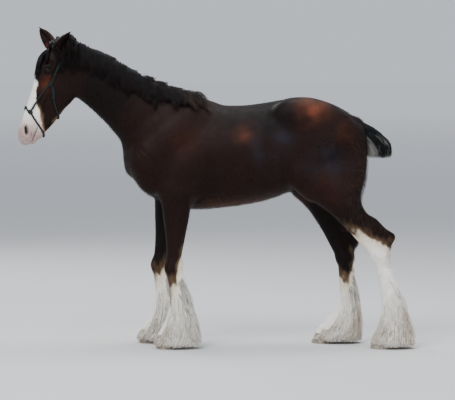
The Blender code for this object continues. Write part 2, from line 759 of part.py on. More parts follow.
def feather_locks(start, end, rows, draw):
    locks = []
    for share, length, first, last, count in FEATHER_ROWS:
        for side in (NEAR, FAR):
            for k in range(count):
                part = (k + 0.5) / count + draw.uniform(-0.12, 0.12)
                around = side * math.pi * (first + (last - first) * part)
                lower = share + draw.uniform(-0.03, 0.03)
                long = length * draw.uniform(0.9, 1.1)
                locks.append(
                    feather_lock(start, end, rows, lower, long, around, draw.uniform(0.97, 1.06))
                )
    return locks


def draped(root, heading, length, offs, size, pull, root_line=None):
    """A lock that starts this way and then falls, lying over the body at these distances."""
    count = len(offs)
    step = length / (count - 1)
    spot = np.asarray(root, float)
    heading = unit(heading)
    route, outs = [], []
    for k, off in enumerate(offs):
        spot = set_off(BODY, spot[None], off, 3)[0]
        out = outward(BODY, spot[None])[0]
        route.append(spot)
        outs.append(out)
        heading = unit(heading + np.array((0.0, 0.0, -pull)))
        lie = heading - out * (heading @ out)
        spot = spot + unit(lie) * step
    return new_lock(np.array(route), np.array(outs), size, root_line)


def mane_locks(draw):
    """Locks from the crest, which fall over the near side of the neck."""
    first, last = flat(*MANE_FROM), flat(*MANE_TO)
    locks = []
    for count, length, rise in MANE_LAYERS:
        for k in range(count):
            share = (k + 0.5 + draw.uniform(-0.2, 0.2)) / count
            root = first + (last - first) * share
            root = set_off(BODY, root[None], -0.020)[0]
            back = 0.15 + 0.9 * share**4 + draw.uniform(-0.12, 0.12)
            long = length * draw.uniform(0.9, 1.1) * (1 - 0.25 * share + 0.25 * share**6)
            offs = (-0.020, rise * 0.6, rise, 0.024, 0.020, 0.015)
            crest = unit(last - first)
            locks.append(draped(root, (back, -0.9, 0.5), long, offs, MANE_LOCK, 0.35, crest))
    return locks


def forelock_locks():
    """Locks from the poll, which fall between the ears and over the forehead."""
    locks = []
    for place, lean, length in FORELOCK:
        root = set_off(BODY, on_head(*place)[None], -0.018)[0]
        heading = HEAD_AXES[0] + HEAD_AXES[1] * 0.4 + HEAD_AXES[2] * lean
        offs = (-0.018, 0.014, 0.024, 0.020, 0.013, 0.008)
        locks.append(draped(root, heading, length, offs, FORELOCK_LOCK, 0.12))
    return locks


def arched(first, one, two, last, count=7):
    """Points along a curve from the first place to the last, drawn towards the other two."""
    t = np.linspace(0, 1, count)[:, None]
    return (
        first * (1 - t) ** 3
        + 3 * one * t * (1 - t) ** 2
        + 3 * two * t**2 * (1 - t)
        + last * t**3
    )


def tail_locks(draw):
    """Locks from the dock, which arch outwards and fall."""
    start, end = flat(*DOCK_FROM), flat(*DOCK_TO)
    along, top, side, _ = frame_along(start, end, SIDEWAYS)
    locks = []
    for share, count, reach in TAIL_ROWS:
        radius = DOCK_RADII[0] * (1 - share) + DOCK_RADII[1] * share
        for k in range(count):
            around = 2 * math.pi * (k + 0.4 * draw.random()) / count
            out = top * math.cos(around) + side * math.sin(around)
            first = start + (end - start) * share + out * radius * 0.4
            low = np.array((math.cos(around), math.sin(around), 0.0))
            spread = np.array((*TAIL_SPREAD, 0.0)) * reach
            last = flat(*TAIL_END) + low * spread + flat(0, draw.uniform(0.0, 0.02))
            bends = first + along * 0.05 + out * 0.045, last + flat(0, 0.06) + low * 0.012
            route = arched(first, *bends, last)
            route[:, 0] = np.maximum(route[:, 0], DOCK[0][0] + draw.uniform(0.010, 0.018))
            outs = np.linspace(out, low, len(route))
            round_dock = side * math.cos(around) - top * math.sin(around)
            locks.append(new_lock(route, outs, TAIL_LOCK, round_dock))
    return locks


def make_torso():
    low, high = (-0.62, -0.28, 0.66), (0.86, 0.28, 1.48)
    planes = [behind(NECK_BASE), FORE_TOP, HIND_TOP, behind(DOCK)]
    return flesh("torso", low, high, planes)


def make_neck(torso, head, crown):
    low, high = (-0.88, -0.20, 0.90), (-0.04, 0.20, 1.72)
    neck = flesh("neck", low, high, [NECK_BASE, behind(NAPE)])
    mane, *others = mane_locks(random.Random(5))
    boolean(mane, others)
    boolean(mane, [inflated(torso), inflated(head)], "DIFFERENCE")
    joined(neck, [mane])
    return joined(neck, [inflated(crown)], "DIFFERENCE")


def make_head():
    low, high = (-1.10, -0.32, 1.05), (-0.66, 0.16, 1.72)
    return flesh("head", low, high, [NAPE])


def leg_box(joints, sides, side, first, last):
    """The box round a stretch of leg between two of its joints."""
    spots = np.array(leg_line(joints, sides, side))[first : last + 1]
    return spots.min(0), spots.max(0)


def make_foot(name, cannon_box, joints, sides, side, top, rows, knee):
    """A cannon with its pastern and hair, and the hoof under it."""
    hoof = make_hoof(f"hoof_{name}", leg_line(joints, sides, side)[3])
    hair = bell(joints, sides, side, top, rows)
    cannon = flesh(f"cannon_{name}", *cannon_box, [behind(knee)], [feather_core(*hair)])
    joined(cannon, feather_locks(*hair, random.Random(name)))
    joined(cannon, [inflated(hoof)], "DIFFERENCE")
    return cut(cannon, [FLOOR]), hoof


def make_fore_leg(side):
    where = SIDE_NAMES[side]
    shape = FORE_JOINTS[side], FORE_SIDE, side
    low, high = leg_box(*shape, 0, 1)
    low, high = low - (0.13, 0.09, -0.03), high + (0.13, 0.09, -0.08)
    arm = flesh(f"forearm_{where}", low, high, [behind(FORE_TOP), KNEE])
    low, high = leg_box(*shape, 1, 3)
    box = low - (0.11, 0.11, 0.08), high + (0.17, 0.11, 0.10)
    return arm, *make_foot(f"front_{where}", box, *shape, FORE_FEATHER_FROM, FORE_FEATHER, KNEE)


def make_hind_leg(side):
    where = SIDE_NAMES[side]
    shape = HIND_JOINTS[side], HIND_SIDE, side
    low, high = leg_box(*shape, 0, 1)
    low, high = low - (0.16, 0.11, -0.09), high + (0.15, 0.11, 0.10)
    gaskin = flesh(f"gaskin_{where}", low, high, [behind(HIND_TOP), HOCK])
    low, high = leg_box(*shape, 1, 1)
    low, high = low - (0.16, 0.09, 0.08), high + (0.15, 0.09, 0.16)
    hock = flesh(f"hock_{where}", low, high, [behind(HOCK), HOCK_LOW])
    low, high = leg_box(*shape, 1, 3)
    box = low - (0.20, 0.11, 0.08), high + (0.17, 0.11, 0.16)
    foot = make_foot(f"hind_{where}", box, *shape, HIND_FEATHER_FROM, HIND_FEATHER, HOCK_LOW)
    return gaskin, hock, *foot


def make_hoof(name, coronet):
    """A hoof: rings from its sloped top down to a flat sole."""
    x0, y0, _ = coronet
    points = []
    for share, half_long, half_wide, ahead in HOOF_RINGS:
        for i in range(HOOF_SIDES):
            angle = 2 * math.pi * i / HOOF_SIDES
            x = -half_long * math.cos(angle) - ahead
            heel = 1 - 0.16 * max(0.0, -math.cos(angle))
            top = HOOF_TOP - HOOF_SLOPE * x - GAP
            points.append((x0 + x, y0 + half_wide * heel * math.sin(angle), top * share))
    count = len(HOOF_RINGS)
    faces = [
        (r * HOOF_SIDES + i, (r + 1) * HOOF_SIDES + i, (r + 1) * HOOF_SIDES + j, r * HOOF_SIDES + j)
        for r in range(count - 1)
        for i in range(HOOF_SIDES)
        for j in [(i + 1) % HOOF_SIDES]
    ]
    faces.append(range(HOOF_SIDES))
    faces.append(range((count - 1) * HOOF_SIDES, count * HOOF_SIDES))
    hoof = new_object(name, points, faces)
    return cut(hoof, [])


def make_tail():
    low, high = (0.78, -0.12, 0.90), (1.02, 0.12, 1.26)
    first, last, half = TAIL_CORE
    core = egg(flat(*first), flat(*last), half, half), 0.02
    dock = flesh("tail", low, high, [DOCK], [core])
    # The other solver leaves edges where more than two faces meet, so tightly do these cross.
    return joined(dock, tail_locks(random.Random(8)), "UNION", "MANIFOLD")


def make_ear(side, meets):
    """An ear: a leaf with a deep cup, its root shaped to the head and the rope that it meets."""
    points_to, faces_to = (unit(v) for v in EAR_LIE[side])
    down, out, across = EAR_ROOT
    root = on_head(down, out, across * side)
    lateral = np.cross(points_to, faces_to)
    tip = root + points_to * EAR_LENGTH
    face = unit(faces_to - points_to * (faces_to @ points_to))
    if np.cross(unit(lateral), points_to) @ face < 0:
        lateral = -lateral
    cup = root + points_to * EAR_LENGTH * 0.56 + face * 0.016
    half = points_to * EAR_LENGTH * 0.40
    forms = [
        (sweep(root, tip, EAR, lateral, cap=0.012), 0.002),
        (egg(cup - half, cup + half, 0.028, 0.027, lateral), -0.004),
    ]
    low = np.minimum(root, tip) - 0.045
    high = np.maximum(root, tip) + 0.045
    step, triangles = FINENESS["ear"]
    points, quads = surface(forms, low, high, step)
    ear = thinned(new_object(f"ear_{SIDE_NAMES[side]}", points, quads), triangles)
    cut(ear, [])
    return joined(ear, [inflated(other) for other in meets], "DIFFERENCE")


def new_ball(name, middle, radius, fineness=2):
    bm = bmesh.new()
    bmesh.ops.create_icosphere(bm, subdivisions=fineness, radius=radius)
    mesh = bpy.data.meshes.new(name)
    bm.to_mesh(mesh)
    bm.free()
    mesh.transform(Matrix.Translation(middle))
    ball = bpy.data.objects.new(name, mesh)
    bpy.context.scene.collection.objects.link(ball)
    return ball


def make_eye(side, head):
    """An eyeball, set into a socket that is cut for it."""
    middle = eye_middle(side)
    joined(head, [new_ball("socket", middle, EYE_RADIUS + GAP)], "DIFFERENCE")
    return new_ball(f"eye_{SIDE_NAMES[side]}", middle, EYE_RADIUS)


# The rope halter: each strand's places on the head (down the face, out of the face, to the side)
SIDE_KNOT = (0.378, 0.088, 0.045)
CHIN_KNOT = (0.480, -0.040, 0.0)
CHEEK_TIE = (0.200, 0.034, 0.078)
NOSE_STRAND = (SIDE_KNOT, (0.372, 0.104, 0.026), (0.354, 0.112, 0.0))
CHIN_STRAND = (SIDE_KNOT, (0.405, 0.055, 0.052), (0.431, 0.020, 0.045), (0.462, -0.020, 0.028), CHIN_KNOT)
CHEEK_STRAND = (SIDE_KNOT, (0.340, 0.080, 0.050), (0.304, 0.072, 0.056), (0.235, 0.054, 0.073), CHEEK_TIE)
CROWN_STRAND = (
    CHEEK_TIE,
    (0.150, 0.038, 0.078),
    (0.060, 0.024, 0.072),
    (0.012, 0.004, 0.066),
    (-0.030, 0.015, 0.055),
    (-0.055, 0.040, 0.030),
    (-0.060, 0.050, 0.0),
)
THROAT_STRAND = (
    CHEEK_TIE,
    (0.232, 0.008, 0.075),
    (0.285, -0.012, 0.070),
    (0.340, -0.055, 0.050),
    (0.365, -0.085, 0.0),
)


def new_tube(name, points, radii, sides=6):
    """A closed tube along the points, with a radius at each."""
    bm = bmesh.new()
    rings = []
    across = None
    for i, point in enumerate(points):
        along = unit(points[min(i + 1, len(points) - 1)] - points[max(i - 1, 0)])
        across = np.cross(along, (0.3, 0.5, 0.8)) if across is None else across
        across = unit(across - along * (across @ along))
        other = np.cross(along, across)
        turns = [2 * math.pi * k / sides for k in range(sides)]
        ring = [point + radii[i] * (across * math.cos(t) + other * math.sin(t)) for t in turns]
        rings.append([bm.verts.new(spot) for spot in ring])
    for one, two in zip(rings, rings[1:]):
        for k in range(sides):
            m = (k + 1) % sides
            bm.faces.new((one[k], one[m], two[m], two[k]))
    bm.faces.new(rings[0])
    bm.faces.new(rings[-1])
    bmesh.ops.triangulate(bm, faces=bm.faces)
    bmesh.ops.recalc_face_normals(bm, faces=bm.faces)
    mesh = bpy.data.meshes.new(name)
    bm.to_mesh(mesh)
    bm.free()
    tube = bpy.data.objects.new(name, mesh)
    bpy.context.scene.collection.objects.link(tube)
    return tube


def curve_through(places, spacing, skip_first=0.0, skip_last=0.0):
    """Points about this far apart along a smooth curve through the places, without its ends."""
    places = np.asarray(places, float)
    lengths = np.linalg.norm(np.diff(places, axis=0), axis=1)
    knots = np.concatenate([[0], np.cumsum(lengths)])
    first, last = skip_first, knots[-1] - skip_last
    count = max(2, round((last - first) / spacing) + 1)
    return smooth_rows(np.column_stack([knots, places]), np.linspace(first, last, count))


def lifted(route, radii, tree):
    """The route moved so that a rope of these radii lies just on the surface, between its points
    too."""
    spots = []
    for point, radius in zip(route, radii):
        near, out, _, _ = tree.find_nearest(Vector(point))
        spots.append(np.array(near) + np.array(out) * (radius + ROPE_CLEAR))
    for _ in range(LIFT_ROUNDS):
        for one, two, radius in zip(spots, spots[1:], radii):
            middle = (one + two) / 2
            near, out, _, _ = tree.find_nearest(Vector(middle))
            short = radius + ROPE_CLEAR - (middle - near) @ np.array(out)
            if short > 0:
                one += np.array(out) * short
                two += np.array(out) * short
    return np.array(spots)


def strand(name, places, side, tree, mirrored=False, knots=False, doubled=False):
    """A rope that lies on the head along these places. If mirrored, it goes on from the last
    place, in the middle, back along the other side. It has a knot at each end, or ends at one,
    and may be doubled along its first stretch."""
    spots = [on_head(down, out, across * side) for down, out, across in places]
    if mirrored:
        spots += [on_head(down, out, -across * side) for down, out, across in places[-2::-1]]
    skip = 0.0 if knots else KNOT_RADIUS + KNOT_CLEAR
    route = curve_through(set_off(BODY, np.array(spots), ROPE_RADIUS), ROPE_STEP, skip, skip)
    radii = np.full(len(route), ROPE_RADIUS)
    if doubled:
        radii[: round(DOUBLED_LENGTH / ROPE_STEP)] = DOUBLED_RADIUS
    if knots:
        bulge = KNOT_RADIUS * np.array((0.6, 1.0, 0.6))
        reach = KNOT_RADIUS * np.array((-0.85, 0.0, 0.85))
        ends = [route[0] + unit(route[1] - route[0]) * t for t in reach]
        other = [route[-1] + unit(route[-2] - route[-1]) * t for t in reach[::-1]]
        route = np.array([*ends, *route[1:-1], *other])
        radii = np.concatenate([bulge, radii[1:-1], bulge])
    return paint(new_tube(name, lifted(route, radii, tree), radii), ROPE)


def make_halter(head):
    """The halter: strands of rope with knots at the nose's sides and on the cheeks. Returns the
    strand that goes behind the ears."""
    tree = BVHTree.FromObject(head, bpy.context.evaluated_depsgraph_get())
    strand("halter_nose", NOSE_STRAND, NEAR, tree, True, True)
    strand("halter_throat", THROAT_STRAND, NEAR, tree, True, doubled=True)
    strand("halter_chin", CHIN_STRAND, NEAR, tree, True)
    for side in (NEAR, FAR):
        strand(f"halter_cheek_{SIDE_NAMES[side]}", CHEEK_STRAND, side, tree)
    return strand("halter_crown", CROWN_STRAND, NEAR, tree, True, True)


def paint(obj, look):
    """Gives the object a material of its own, and smooth shading."""
    colour, roughness = look
    material = bpy.data.materials.new(obj.name)
    material.use_nodes = True
    shader = material.node_tree.nodes["Principled BSDF"]
    shader.inputs["Base Color"].default_value = (*colour, 1.0)
    shader.inputs["Roughness"].default_value = roughness
    obj.data.materials.clear()
    obj.data.materials.append(material)
    obj.data.shade_smooth()
    obj.data.set_sharp_from_angle(angle=math.radians(50))
    return obj


def main():
    for obj in list(bpy.data.objects):
        bpy.data.objects.remove(obj)
    torso = paint(make_torso(), COAT)
    paint(make_tail(), DARK_HAIR)
    head = paint(make_head(), COAT)
    for side in (NEAR, FAR):
        paint(make_eye(side, head), WET)
    crown = make_halter(head)
    paint(make_neck(torso, head, crown), COAT)
    joined(head, forelock_locks())
    for side in (NEAR, FAR):
        paint(make_ear(side, [head, crown]), COAT)
        for make_leg in (make_fore_leg, make_hind_leg):
            upper, *lower, hoof = make_leg(side)
            paint(upper, COAT)
            for piece in lower:
                paint(piece, PALE_HAIR)
            paint(hoof, HORN)


main()
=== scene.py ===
"""A young Clydesdale in a rope halter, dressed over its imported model. Metres, +Z up.

The flesh is one skin, meshed from the same blended forms as the solids. Mane, forelock, tail, leg
feather and the short coat are closed, tapered strands that grow from that skin.
"""

import math
from collections import namedtuple

import bmesh
import bpy
import numpy as np
import openvdb
from mathutils import Matrix, Vector
from mathutils.bvhtree import BVHTree


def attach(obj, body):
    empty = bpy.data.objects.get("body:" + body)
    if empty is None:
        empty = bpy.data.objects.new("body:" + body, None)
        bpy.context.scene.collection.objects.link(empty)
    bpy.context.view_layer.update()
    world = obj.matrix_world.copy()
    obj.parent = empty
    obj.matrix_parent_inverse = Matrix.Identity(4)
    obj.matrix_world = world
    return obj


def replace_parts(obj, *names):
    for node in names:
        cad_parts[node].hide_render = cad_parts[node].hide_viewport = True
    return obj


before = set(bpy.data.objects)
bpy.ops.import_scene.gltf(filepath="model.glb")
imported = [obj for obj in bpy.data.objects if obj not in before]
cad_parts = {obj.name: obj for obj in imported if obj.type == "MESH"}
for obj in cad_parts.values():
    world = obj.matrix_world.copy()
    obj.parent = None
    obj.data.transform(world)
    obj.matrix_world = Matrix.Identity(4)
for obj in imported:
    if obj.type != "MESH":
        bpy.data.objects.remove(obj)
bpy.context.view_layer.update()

NEAR, FAR = -1, 1  # the two sides, as the sign of Y
SIDE_NAMES = {NEAR: "left", FAR: "right"}

# The back, chest and croup: (x, back height, belly height, half width, roundness above, below)
TRUNK = (
    (-0.45, 1.12, 0.90, 0.085, 2.0, 2.0),
    (-0.38, 1.20, 0.82, 0.120, 1.9, 2.0),
    (-0.28, 1.27, 0.765, 0.145, 1.8, 2.1),
    (-0.18, 1.305, 0.735, 0.165, 1.7, 2.2),
    (-0.09, 1.312, 0.730, 0.188, 1.7, 2.3),
    (0.00, 1.293, 0.737, 0.205, 1.8, 2.3),
    (0.13, 1.288, 0.752, 0.214, 1.9, 2.3),
    (0.26, 1.303, 0.778, 0.210, 1.9, 2.2),
    (0.36, 1.320, 0.812, 0.200, 1.9, 2.1),
    (0.47, 1.331, 0.860, 0.195, 2.0, 2.0),
    (0.57, 1.312, 0.890, 0.180, 2.0, 2.0),
    (0.67, 1.268, 0.930, 0.145, 2.0, 2.0),
    (0.75, 1.210, 0.980, 0.085, 2.0, 2.0),
)
TRUNK_AXIS_Z = 1.05

# The neck, from inside the shoulders to the poll: (share, to the crest, to the throat, half width)
NECK_FROM, NECK_TO = (-0.12, 1.12), (-0.80, 1.50)
NECK = (
    (0.00, 0.195, 0.300, 0.120),
    (0.17, 0.182, 0.300, 0.118),
    (0.36, 0.158, 0.235, 0.098),
    (0.54, 0.146, 0.178, 0.082),
    (0.72, 0.150, 0.140, 0.074),
    (0.88, 0.145, 0.118, 0.070),
    (1.00, 0.120, 0.110, 0.066),
)

# The head hangs from the poll. Its own axes: down the face, out of the face, and to the far side.
POLL = (-0.80, 0.0, 1.58)
HEAD_PITCH = math.radians(70.8)  # the face line below the horizon
HEAD_YAW = math.radians(16.0)  # the nose turned towards the near side
HEAD_TOP, HEAD_BOTTOM = -0.02, 0.49
HEAD = (  # (down the face, to the face line, to the jaw, half width)
    (-0.02, 0.045, 0.045, 0.055),
    (0.04, 0.098, 0.080, 0.064),
    (0.10, 0.113, 0.100, 0.070),
    (0.16, 0.114, 0.108, 0.072),
    (0.22, 0.110, 0.108, 0.066),
    (0.28, 0.107, 0.096, 0.057),
    (0.34, 0.106, 0.076, 0.050),
    (0.40, 0.107, 0.048, 0.045),
    (0.45, 0.106, 0.012, 0.043),
    (0.49, 0.094, -0.020, 0.038),
)
EYE = (0.142, 0.074, 0.073)  # down the face, out of the face, to the side
EYE_RADIUS = 0.0205
LID = 0.004  # how thick the lids are
EAR_LENGTH = 0.150
EAR_ROOT = (0.012, 0.062, 0.048)  # down the face, out of the face, to the side
EAR_LIE = {  # where each ear points, and where its cup faces
    NEAR: ((0.54, -0.62, 0.57), (0.50, -0.25, -0.70)),
    FAR: ((-0.50, 0.45, 0.72), (-0.55, -0.80, 0.10)),
}
EAR = (  # (share, to the cup's rim, to the back, half width)
    (0.00, 0.020, 0.024, 0.026),
    (0.22, 0.018, 0.026, 0.036),
    (0.50, 0.013, 0.022, 0.034),
    (0.75, 0.009, 0.015, 0.023),
    (0.92, 0.004, 0.008, 0.009),
    (1.00, 0.002, 0.003, 0.003),
)

# Each leg is its joints: (x, z) from the top down, and how far each is from the middle
FORE_JOINTS = {
    NEAR: ((-0.212, 0.82), (-0.230, 0.425), (-0.196, 0.160), (-0.244, 0.058)),
    FAR: ((-0.250, 0.82), (-0.310, 0.420), (-0.284, 0.160), (-0.345, 0.058)),
}
FORE_SIDE = (0.120, 0.128, 0.132, 0.136)
HIND_JOINTS = {
    NEAR: ((0.560, 0.86), (0.868, 0.495), (0.936, 0.165), (0.892, 0.058)),
    FAR: ((0.500, 0.85), (0.690, 0.470), (0.704, 0.165), (0.588, 0.058)),
}
HIND_SIDE = (0.125, 0.118, 0.122, 0.128)
HOCK_POINT = {NEAR: (0.928, 0.592), FAR: (0.752, 0.563)}

# Thickness along each length of leg: (share, in front of the bone line, behind it, half width)
FOREARM = (
    (0.00, 0.088, 0.085, 0.064),
    (0.30, 0.070, 0.074, 0.056),
    (0.60, 0.050, 0.057, 0.045),
    (0.85, 0.041, 0.043, 0.039),
    (1.00, 0.042, 0.038, 0.040),
)
FORE_CANNON = (
    (0.00, 0.041, 0.037, 0.039),
    (0.25, 0.032, 0.036, 0.030),
    (0.60, 0.030, 0.037, 0.028),
    (0.85, 0.033, 0.040, 0.032),
    (1.00, 0.038, 0.044, 0.037),
)
GASKIN = (
    (0.00, 0.100, 0.150, 0.075),
    (0.25, 0.068, 0.118, 0.067),
    (0.50, 0.052, 0.090, 0.054),
    (0.75, 0.048, 0.056, 0.041),
    (1.00, 0.047, 0.045, 0.041),
)
HIND_CANNON = (
    (0.00, 0.046, 0.043, 0.041),
    (0.25, 0.035, 0.040, 0.031),
    (0.60, 0.031, 0.039, 0.029),
    (0.85, 0.033, 0.042, 0.032),
    (1.00, 0.038, 0.045, 0.037),
)
PASTERN = (
    (0.00, 0.037, 0.041, 0.037),
    (0.50, 0.035, 0.038, 0.036),
    (1.00, 0.047, 0.044, 0.047),
)
DOCK_FROM, DOCK_TO = (0.735, 1.185), (0.870, 1.075)
DOCK_RADII = (0.040, 0.020)

# The lower leg's hair, out to its tips: (share of the way down, in front, behind, half width)
FEATHER_TO = 0.010  # above the floor
FORE_FEATHER_FROM, HIND_FEATHER_FROM = 0.43, 0.40
HAIR_LEAN = 0.07  # a foot that is further ahead of its fetlock takes its hair along
FORE_FEATHER = (
    (0.00, 0.040, 0.052, 0.042),
    (0.25, 0.036, 0.080, 0.050),
    (0.50, 0.038, 0.100, 0.062),
    (0.75, 0.060, 0.118, 0.076),
    (1.00, 0.106, 0.134, 0.090),
)
HIND_FEATHER = (
    (0.00, 0.042, 0.058, 0.042),
    (0.25, 0.036, 0.086, 0.050),
    (0.50, 0.038, 0.108, 0.062),
    (0.75, 0.054, 0.130, 0.078),
    (1.00, 0.084, 0.140, 0.092),
)

MANE_FROM, MANE_TO = (-0.765, 1.632), (-0.130, 1.345)
FORELOCK = (  # root on the head, sideways lean, length
    ((0.005, 0.100, -0.020), 0.05, 0.180),
    ((0.000, 0.098, 0.000), -0.14, 0.205),
    ((0.010, 0.104, 0.018), -0.30, 0.190),
    ((0.022, 0.110, -0.008), -0.45, 0.160),
    ((0.018, 0.108, 0.008), -0.70, 0.145),
    ((0.008, 0.100, -0.012), -1.20, 0.120),
)
TAIL_END = (0.870, 1.004)  # the middle of its blunt end
TAIL_SPREAD = (0.060, 0.054)  # half its size there, along and across

ROPE_RADIUS = 0.0052
ROPE_LAY = 0.019  # the length of one turn of its plies
PLIES = 3
ASLANT = (0.31, 0.52, 0.79)  # along no strand
KNOT_RADIUS = 0.0121

# The rope halter: each strand's places on the head (down the face, out of the face, to the side)
SIDE_KNOT = (0.378, 0.088, 0.045)
CHIN_KNOT = (0.480, -0.040, 0.0)
CHEEK_TIE = (0.200, 0.034, 0.078)
NOSE_STRAND = (SIDE_KNOT, (0.372, 0.104, 0.026), (0.354, 0.112, 0.0))
CHIN_STRAND = (SIDE_KNOT, (0.405, 0.055, 0.052), (0.431, 0.020, 0.045), (0.462, -0.020, 0.028), CHIN_KNOT)
CHEEK_STRAND = (SIDE_KNOT, (0.340, 0.080, 0.050), (0.304, 0.072, 0.056), (0.235, 0.054, 0.073), CHEEK_TIE)
CROWN_STRAND = (
    CHEEK_TIE,
    (0.150, 0.038, 0.078),
    (0.060, 0.024, 0.072),
    (0.012, 0.004, 0.066),
    (-0.030, 0.015, 0.055),
    (-0.055, 0.040, 0.030),
    (-0.060, 0.050, 0.0),
)
THROAT_STRAND = (
    CHEEK_TIE,
    (0.232, 0.008, 0.075),
    (0.285, -0.012, 0.070),
    (0.340, -0.055, 0.050),
    (0.365, -0.085, 0.0),
)


def smooth_rows(rows, t):
    """The values of a table of rows (t, value...) at t, along smooth curves through the rows."""
    rows = np.asarray(rows, float)
    knots, values = rows[:, 0], rows[:, 1:]
    slopes = np.gradient(values, knots, axis=0)
    t = np.clip(t, knots[0], knots[-1])
    i = np.clip(np.searchsorted(knots, t, side="right") - 1, 0, len(knots) - 2)
    width = (knots[i + 1] - knots[i])[:, None]
    s = (t - knots[i])[:, None] / width
    rise = s * s * (3 - 2 * s)
    return (
        values[i] * (1 - rise)
        + values[i + 1] * rise
        + slopes[i] * width * s * (1 - s) ** 2
        - slopes[i + 1] * width * s * s * (1 - s)
    )


def unit(v):
    v = np.asarray(v, float)
    return v / np.linalg.norm(v)


def units(vectors):
    return vectors / np.maximum(np.linalg.norm(vectors, axis=-1, keepdims=True), 1e-9)


def run_of(points):
    """How far along its line each point lies."""
    return np.concatenate([[0], np.cumsum(np.linalg.norm(np.diff(points, axis=0), axis=1))])


def bent(a, b, c, d, t):
    """A curve that leaves a towards b and comes to d from c."""
    return a * (1 - t) ** 3 + 3 * b * t * (1 - t) ** 2 + 3 * c * t**2 * (1 - t) + d * t**3


def frame_along(start, end, lateral):
    """The unit axes along a line, to its front or upper side, and sideways, and its length."""
    start, end, lateral = (np.asarray(v, float) for v in (start, end, lateral))
    length = np.linalg.norm(end - start)
    along = (end - start) / length
    side = unit(lateral - along * (lateral @ along))
    return along, np.cross(side, along), side, length


SIDEWAYS = (0.0, 1.0, 0.0)


# One rounded form: a signed distance, roughly, and the corners of the box round it
Form = namedtuple("Form", "distance low high")


def sweep(start, end, rows, lateral=SIDEWAYS, cap=None):
    """A form along a line. A row: share, reach to the front, to the back, half width, and
    if the section isn't an ellipse, its power in front and behind."""
    along, front, side, length = frame_along(start, end, lateral)
    start = np.asarray(start, float)
    table = np.array([tuple(r) + (2.0, 2.0) * (len(r) == 4) for r in rows], float)

    def distance(points):
        local = points - start
        s = local @ along
        reach = smooth_rows(table, s / length)
        ahead, behind, half = reach[:, 0], reach[:, 1], reach[:, 2]
        across = local @ front - (ahead - behind) / 2
        deep = (ahead + behind) / 2
        power = np.where(across > 0, reach[:, 3], reach[:, 4])
        sideways = local @ side
        over = np.maximum(np.maximum(-s, s - length), 0)
        end_round = np.minimum(deep, half) if cap is None else cap
        q = (
            np.abs(across / deep) ** power
            + np.abs(sideways / half) ** power
            + (over / end_round) ** power
        ) ** (1 / power)
        r = np.sqrt(across**2 + sideways**2 + over**2)
        return np.where(q > 1e-6, r - r / np.maximum(q, 1e-6), -np.minimum(deep, half))

    widest = table[:, 1:4].max()
    ends = np.array([start, end])
    return Form(distance, ends.min(0) - widest, ends.max(0) + widest)


def egg(start, end, deep, wide, lateral=SIDEWAYS):
    """An ellipsoid from one point to another, this deep and this wide at its middle."""
    along, front, side, length = frame_along(start, end, lateral)
    axes = np.array([along, front, side])
    radii = np.array([length / 2, deep, wide])
    middle = (np.asarray(start, float) + np.asarray(end, float)) / 2

    def distance(points):
        local = (points - middle) @ axes.T
        near = np.linalg.norm(local / radii, axis=1)
        steep = np.linalg.norm(local / radii**2, axis=1)
        return near * (near - 1) / np.maximum(steep, 1e-9)

    reach = radii.max()
    return Form(distance, middle - reach, middle + reach)


def ball(middle, radius):
    def distance(points):
        return np.linalg.norm(points - middle, axis=1) - radius

    return Form(distance, middle - radius, middle + radius)


FIELD_MARGIN = 0.07  # how far past its box a form is still measured
FAR_OFF = 0.25  # the distance given to a point that is near no form


def field(forms, points, depth=0.0):
    """The blended body's signed distance, roughly, at each point. A form comes with its blend
    radius, and a negative radius carves it out instead, by this depth less on every side."""
    value = np.full(len(points), FAR_OFF)
    for form, blend in forms:
        margin = FIELD_MARGIN + abs(blend)
        inside = np.all((points > form.low - margin) & (points < form.high + margin), axis=1)
        if not inside.any():
            continue
        other = form.distance(points[inside])
        old = value[inside]
        if blend < 0:
            other = other + (depth if np.ndim(depth) == 0 else depth[inside])
            h = np.clip(0.5 - 0.5 * (old + other) / blend, 0, 1)
            value[inside] = old * h - other * (1 - h) - blend * h * (1 - h)
        else:
            h = np.clip(0.5 + 0.5 * (old - other) / blend, 0, 1)
            value[inside] = old * (1 - h) + other * h - blend * h * (1 - h)
    return value


def outward(forms, points, step=0.003):
    """The unit direction out of the blended body at each point."""
    ways = np.eye(3) * step
    return units(np.stack([field(forms, points + d) - field(forms, points - d) for d in ways], -1))


def set_off(forms, points, off, rounds=4):
    """The points moved to this distance from the blended body's surface."""
    for _ in range(rounds):
        points = points + outward(forms, points) * (off - field(forms, points))[:, None]
    return points


def flat(x, z, y=0.0):
    return np.array((x, y, z))


def head_axes():
    """The head's three axes as rows: down the face, out of the face, to the far side."""
    down = (-math.cos(HEAD_PITCH), 0.0, -math.sin(HEAD_PITCH))
    out = (-math.sin(HEAD_PITCH), 0.0, math.cos(HEAD_PITCH))
    turn = np.array(Matrix.Rotation(HEAD_YAW, 3, "Z"))
    return np.array([turn @ down, turn @ out, turn @ SIDEWAYS])


HEAD_AXES = head_axes()


def on_head(down, out, side=0.0):
    return np.array(POLL) + np.array((down, out, side)) @ HEAD_AXES


def paired(table):
    """Eggs on both sides, from rows of (x, z, y, x, z, y, deep, wide, blend)."""
    for side in (NEAR, FAR):
        for x, z, y, to_x, to_z, to_y, deep, wide, blend in table:
            yield egg(flat(x, z, y * side), flat(to_x, to_z, to_y * side), deep, wide), blend


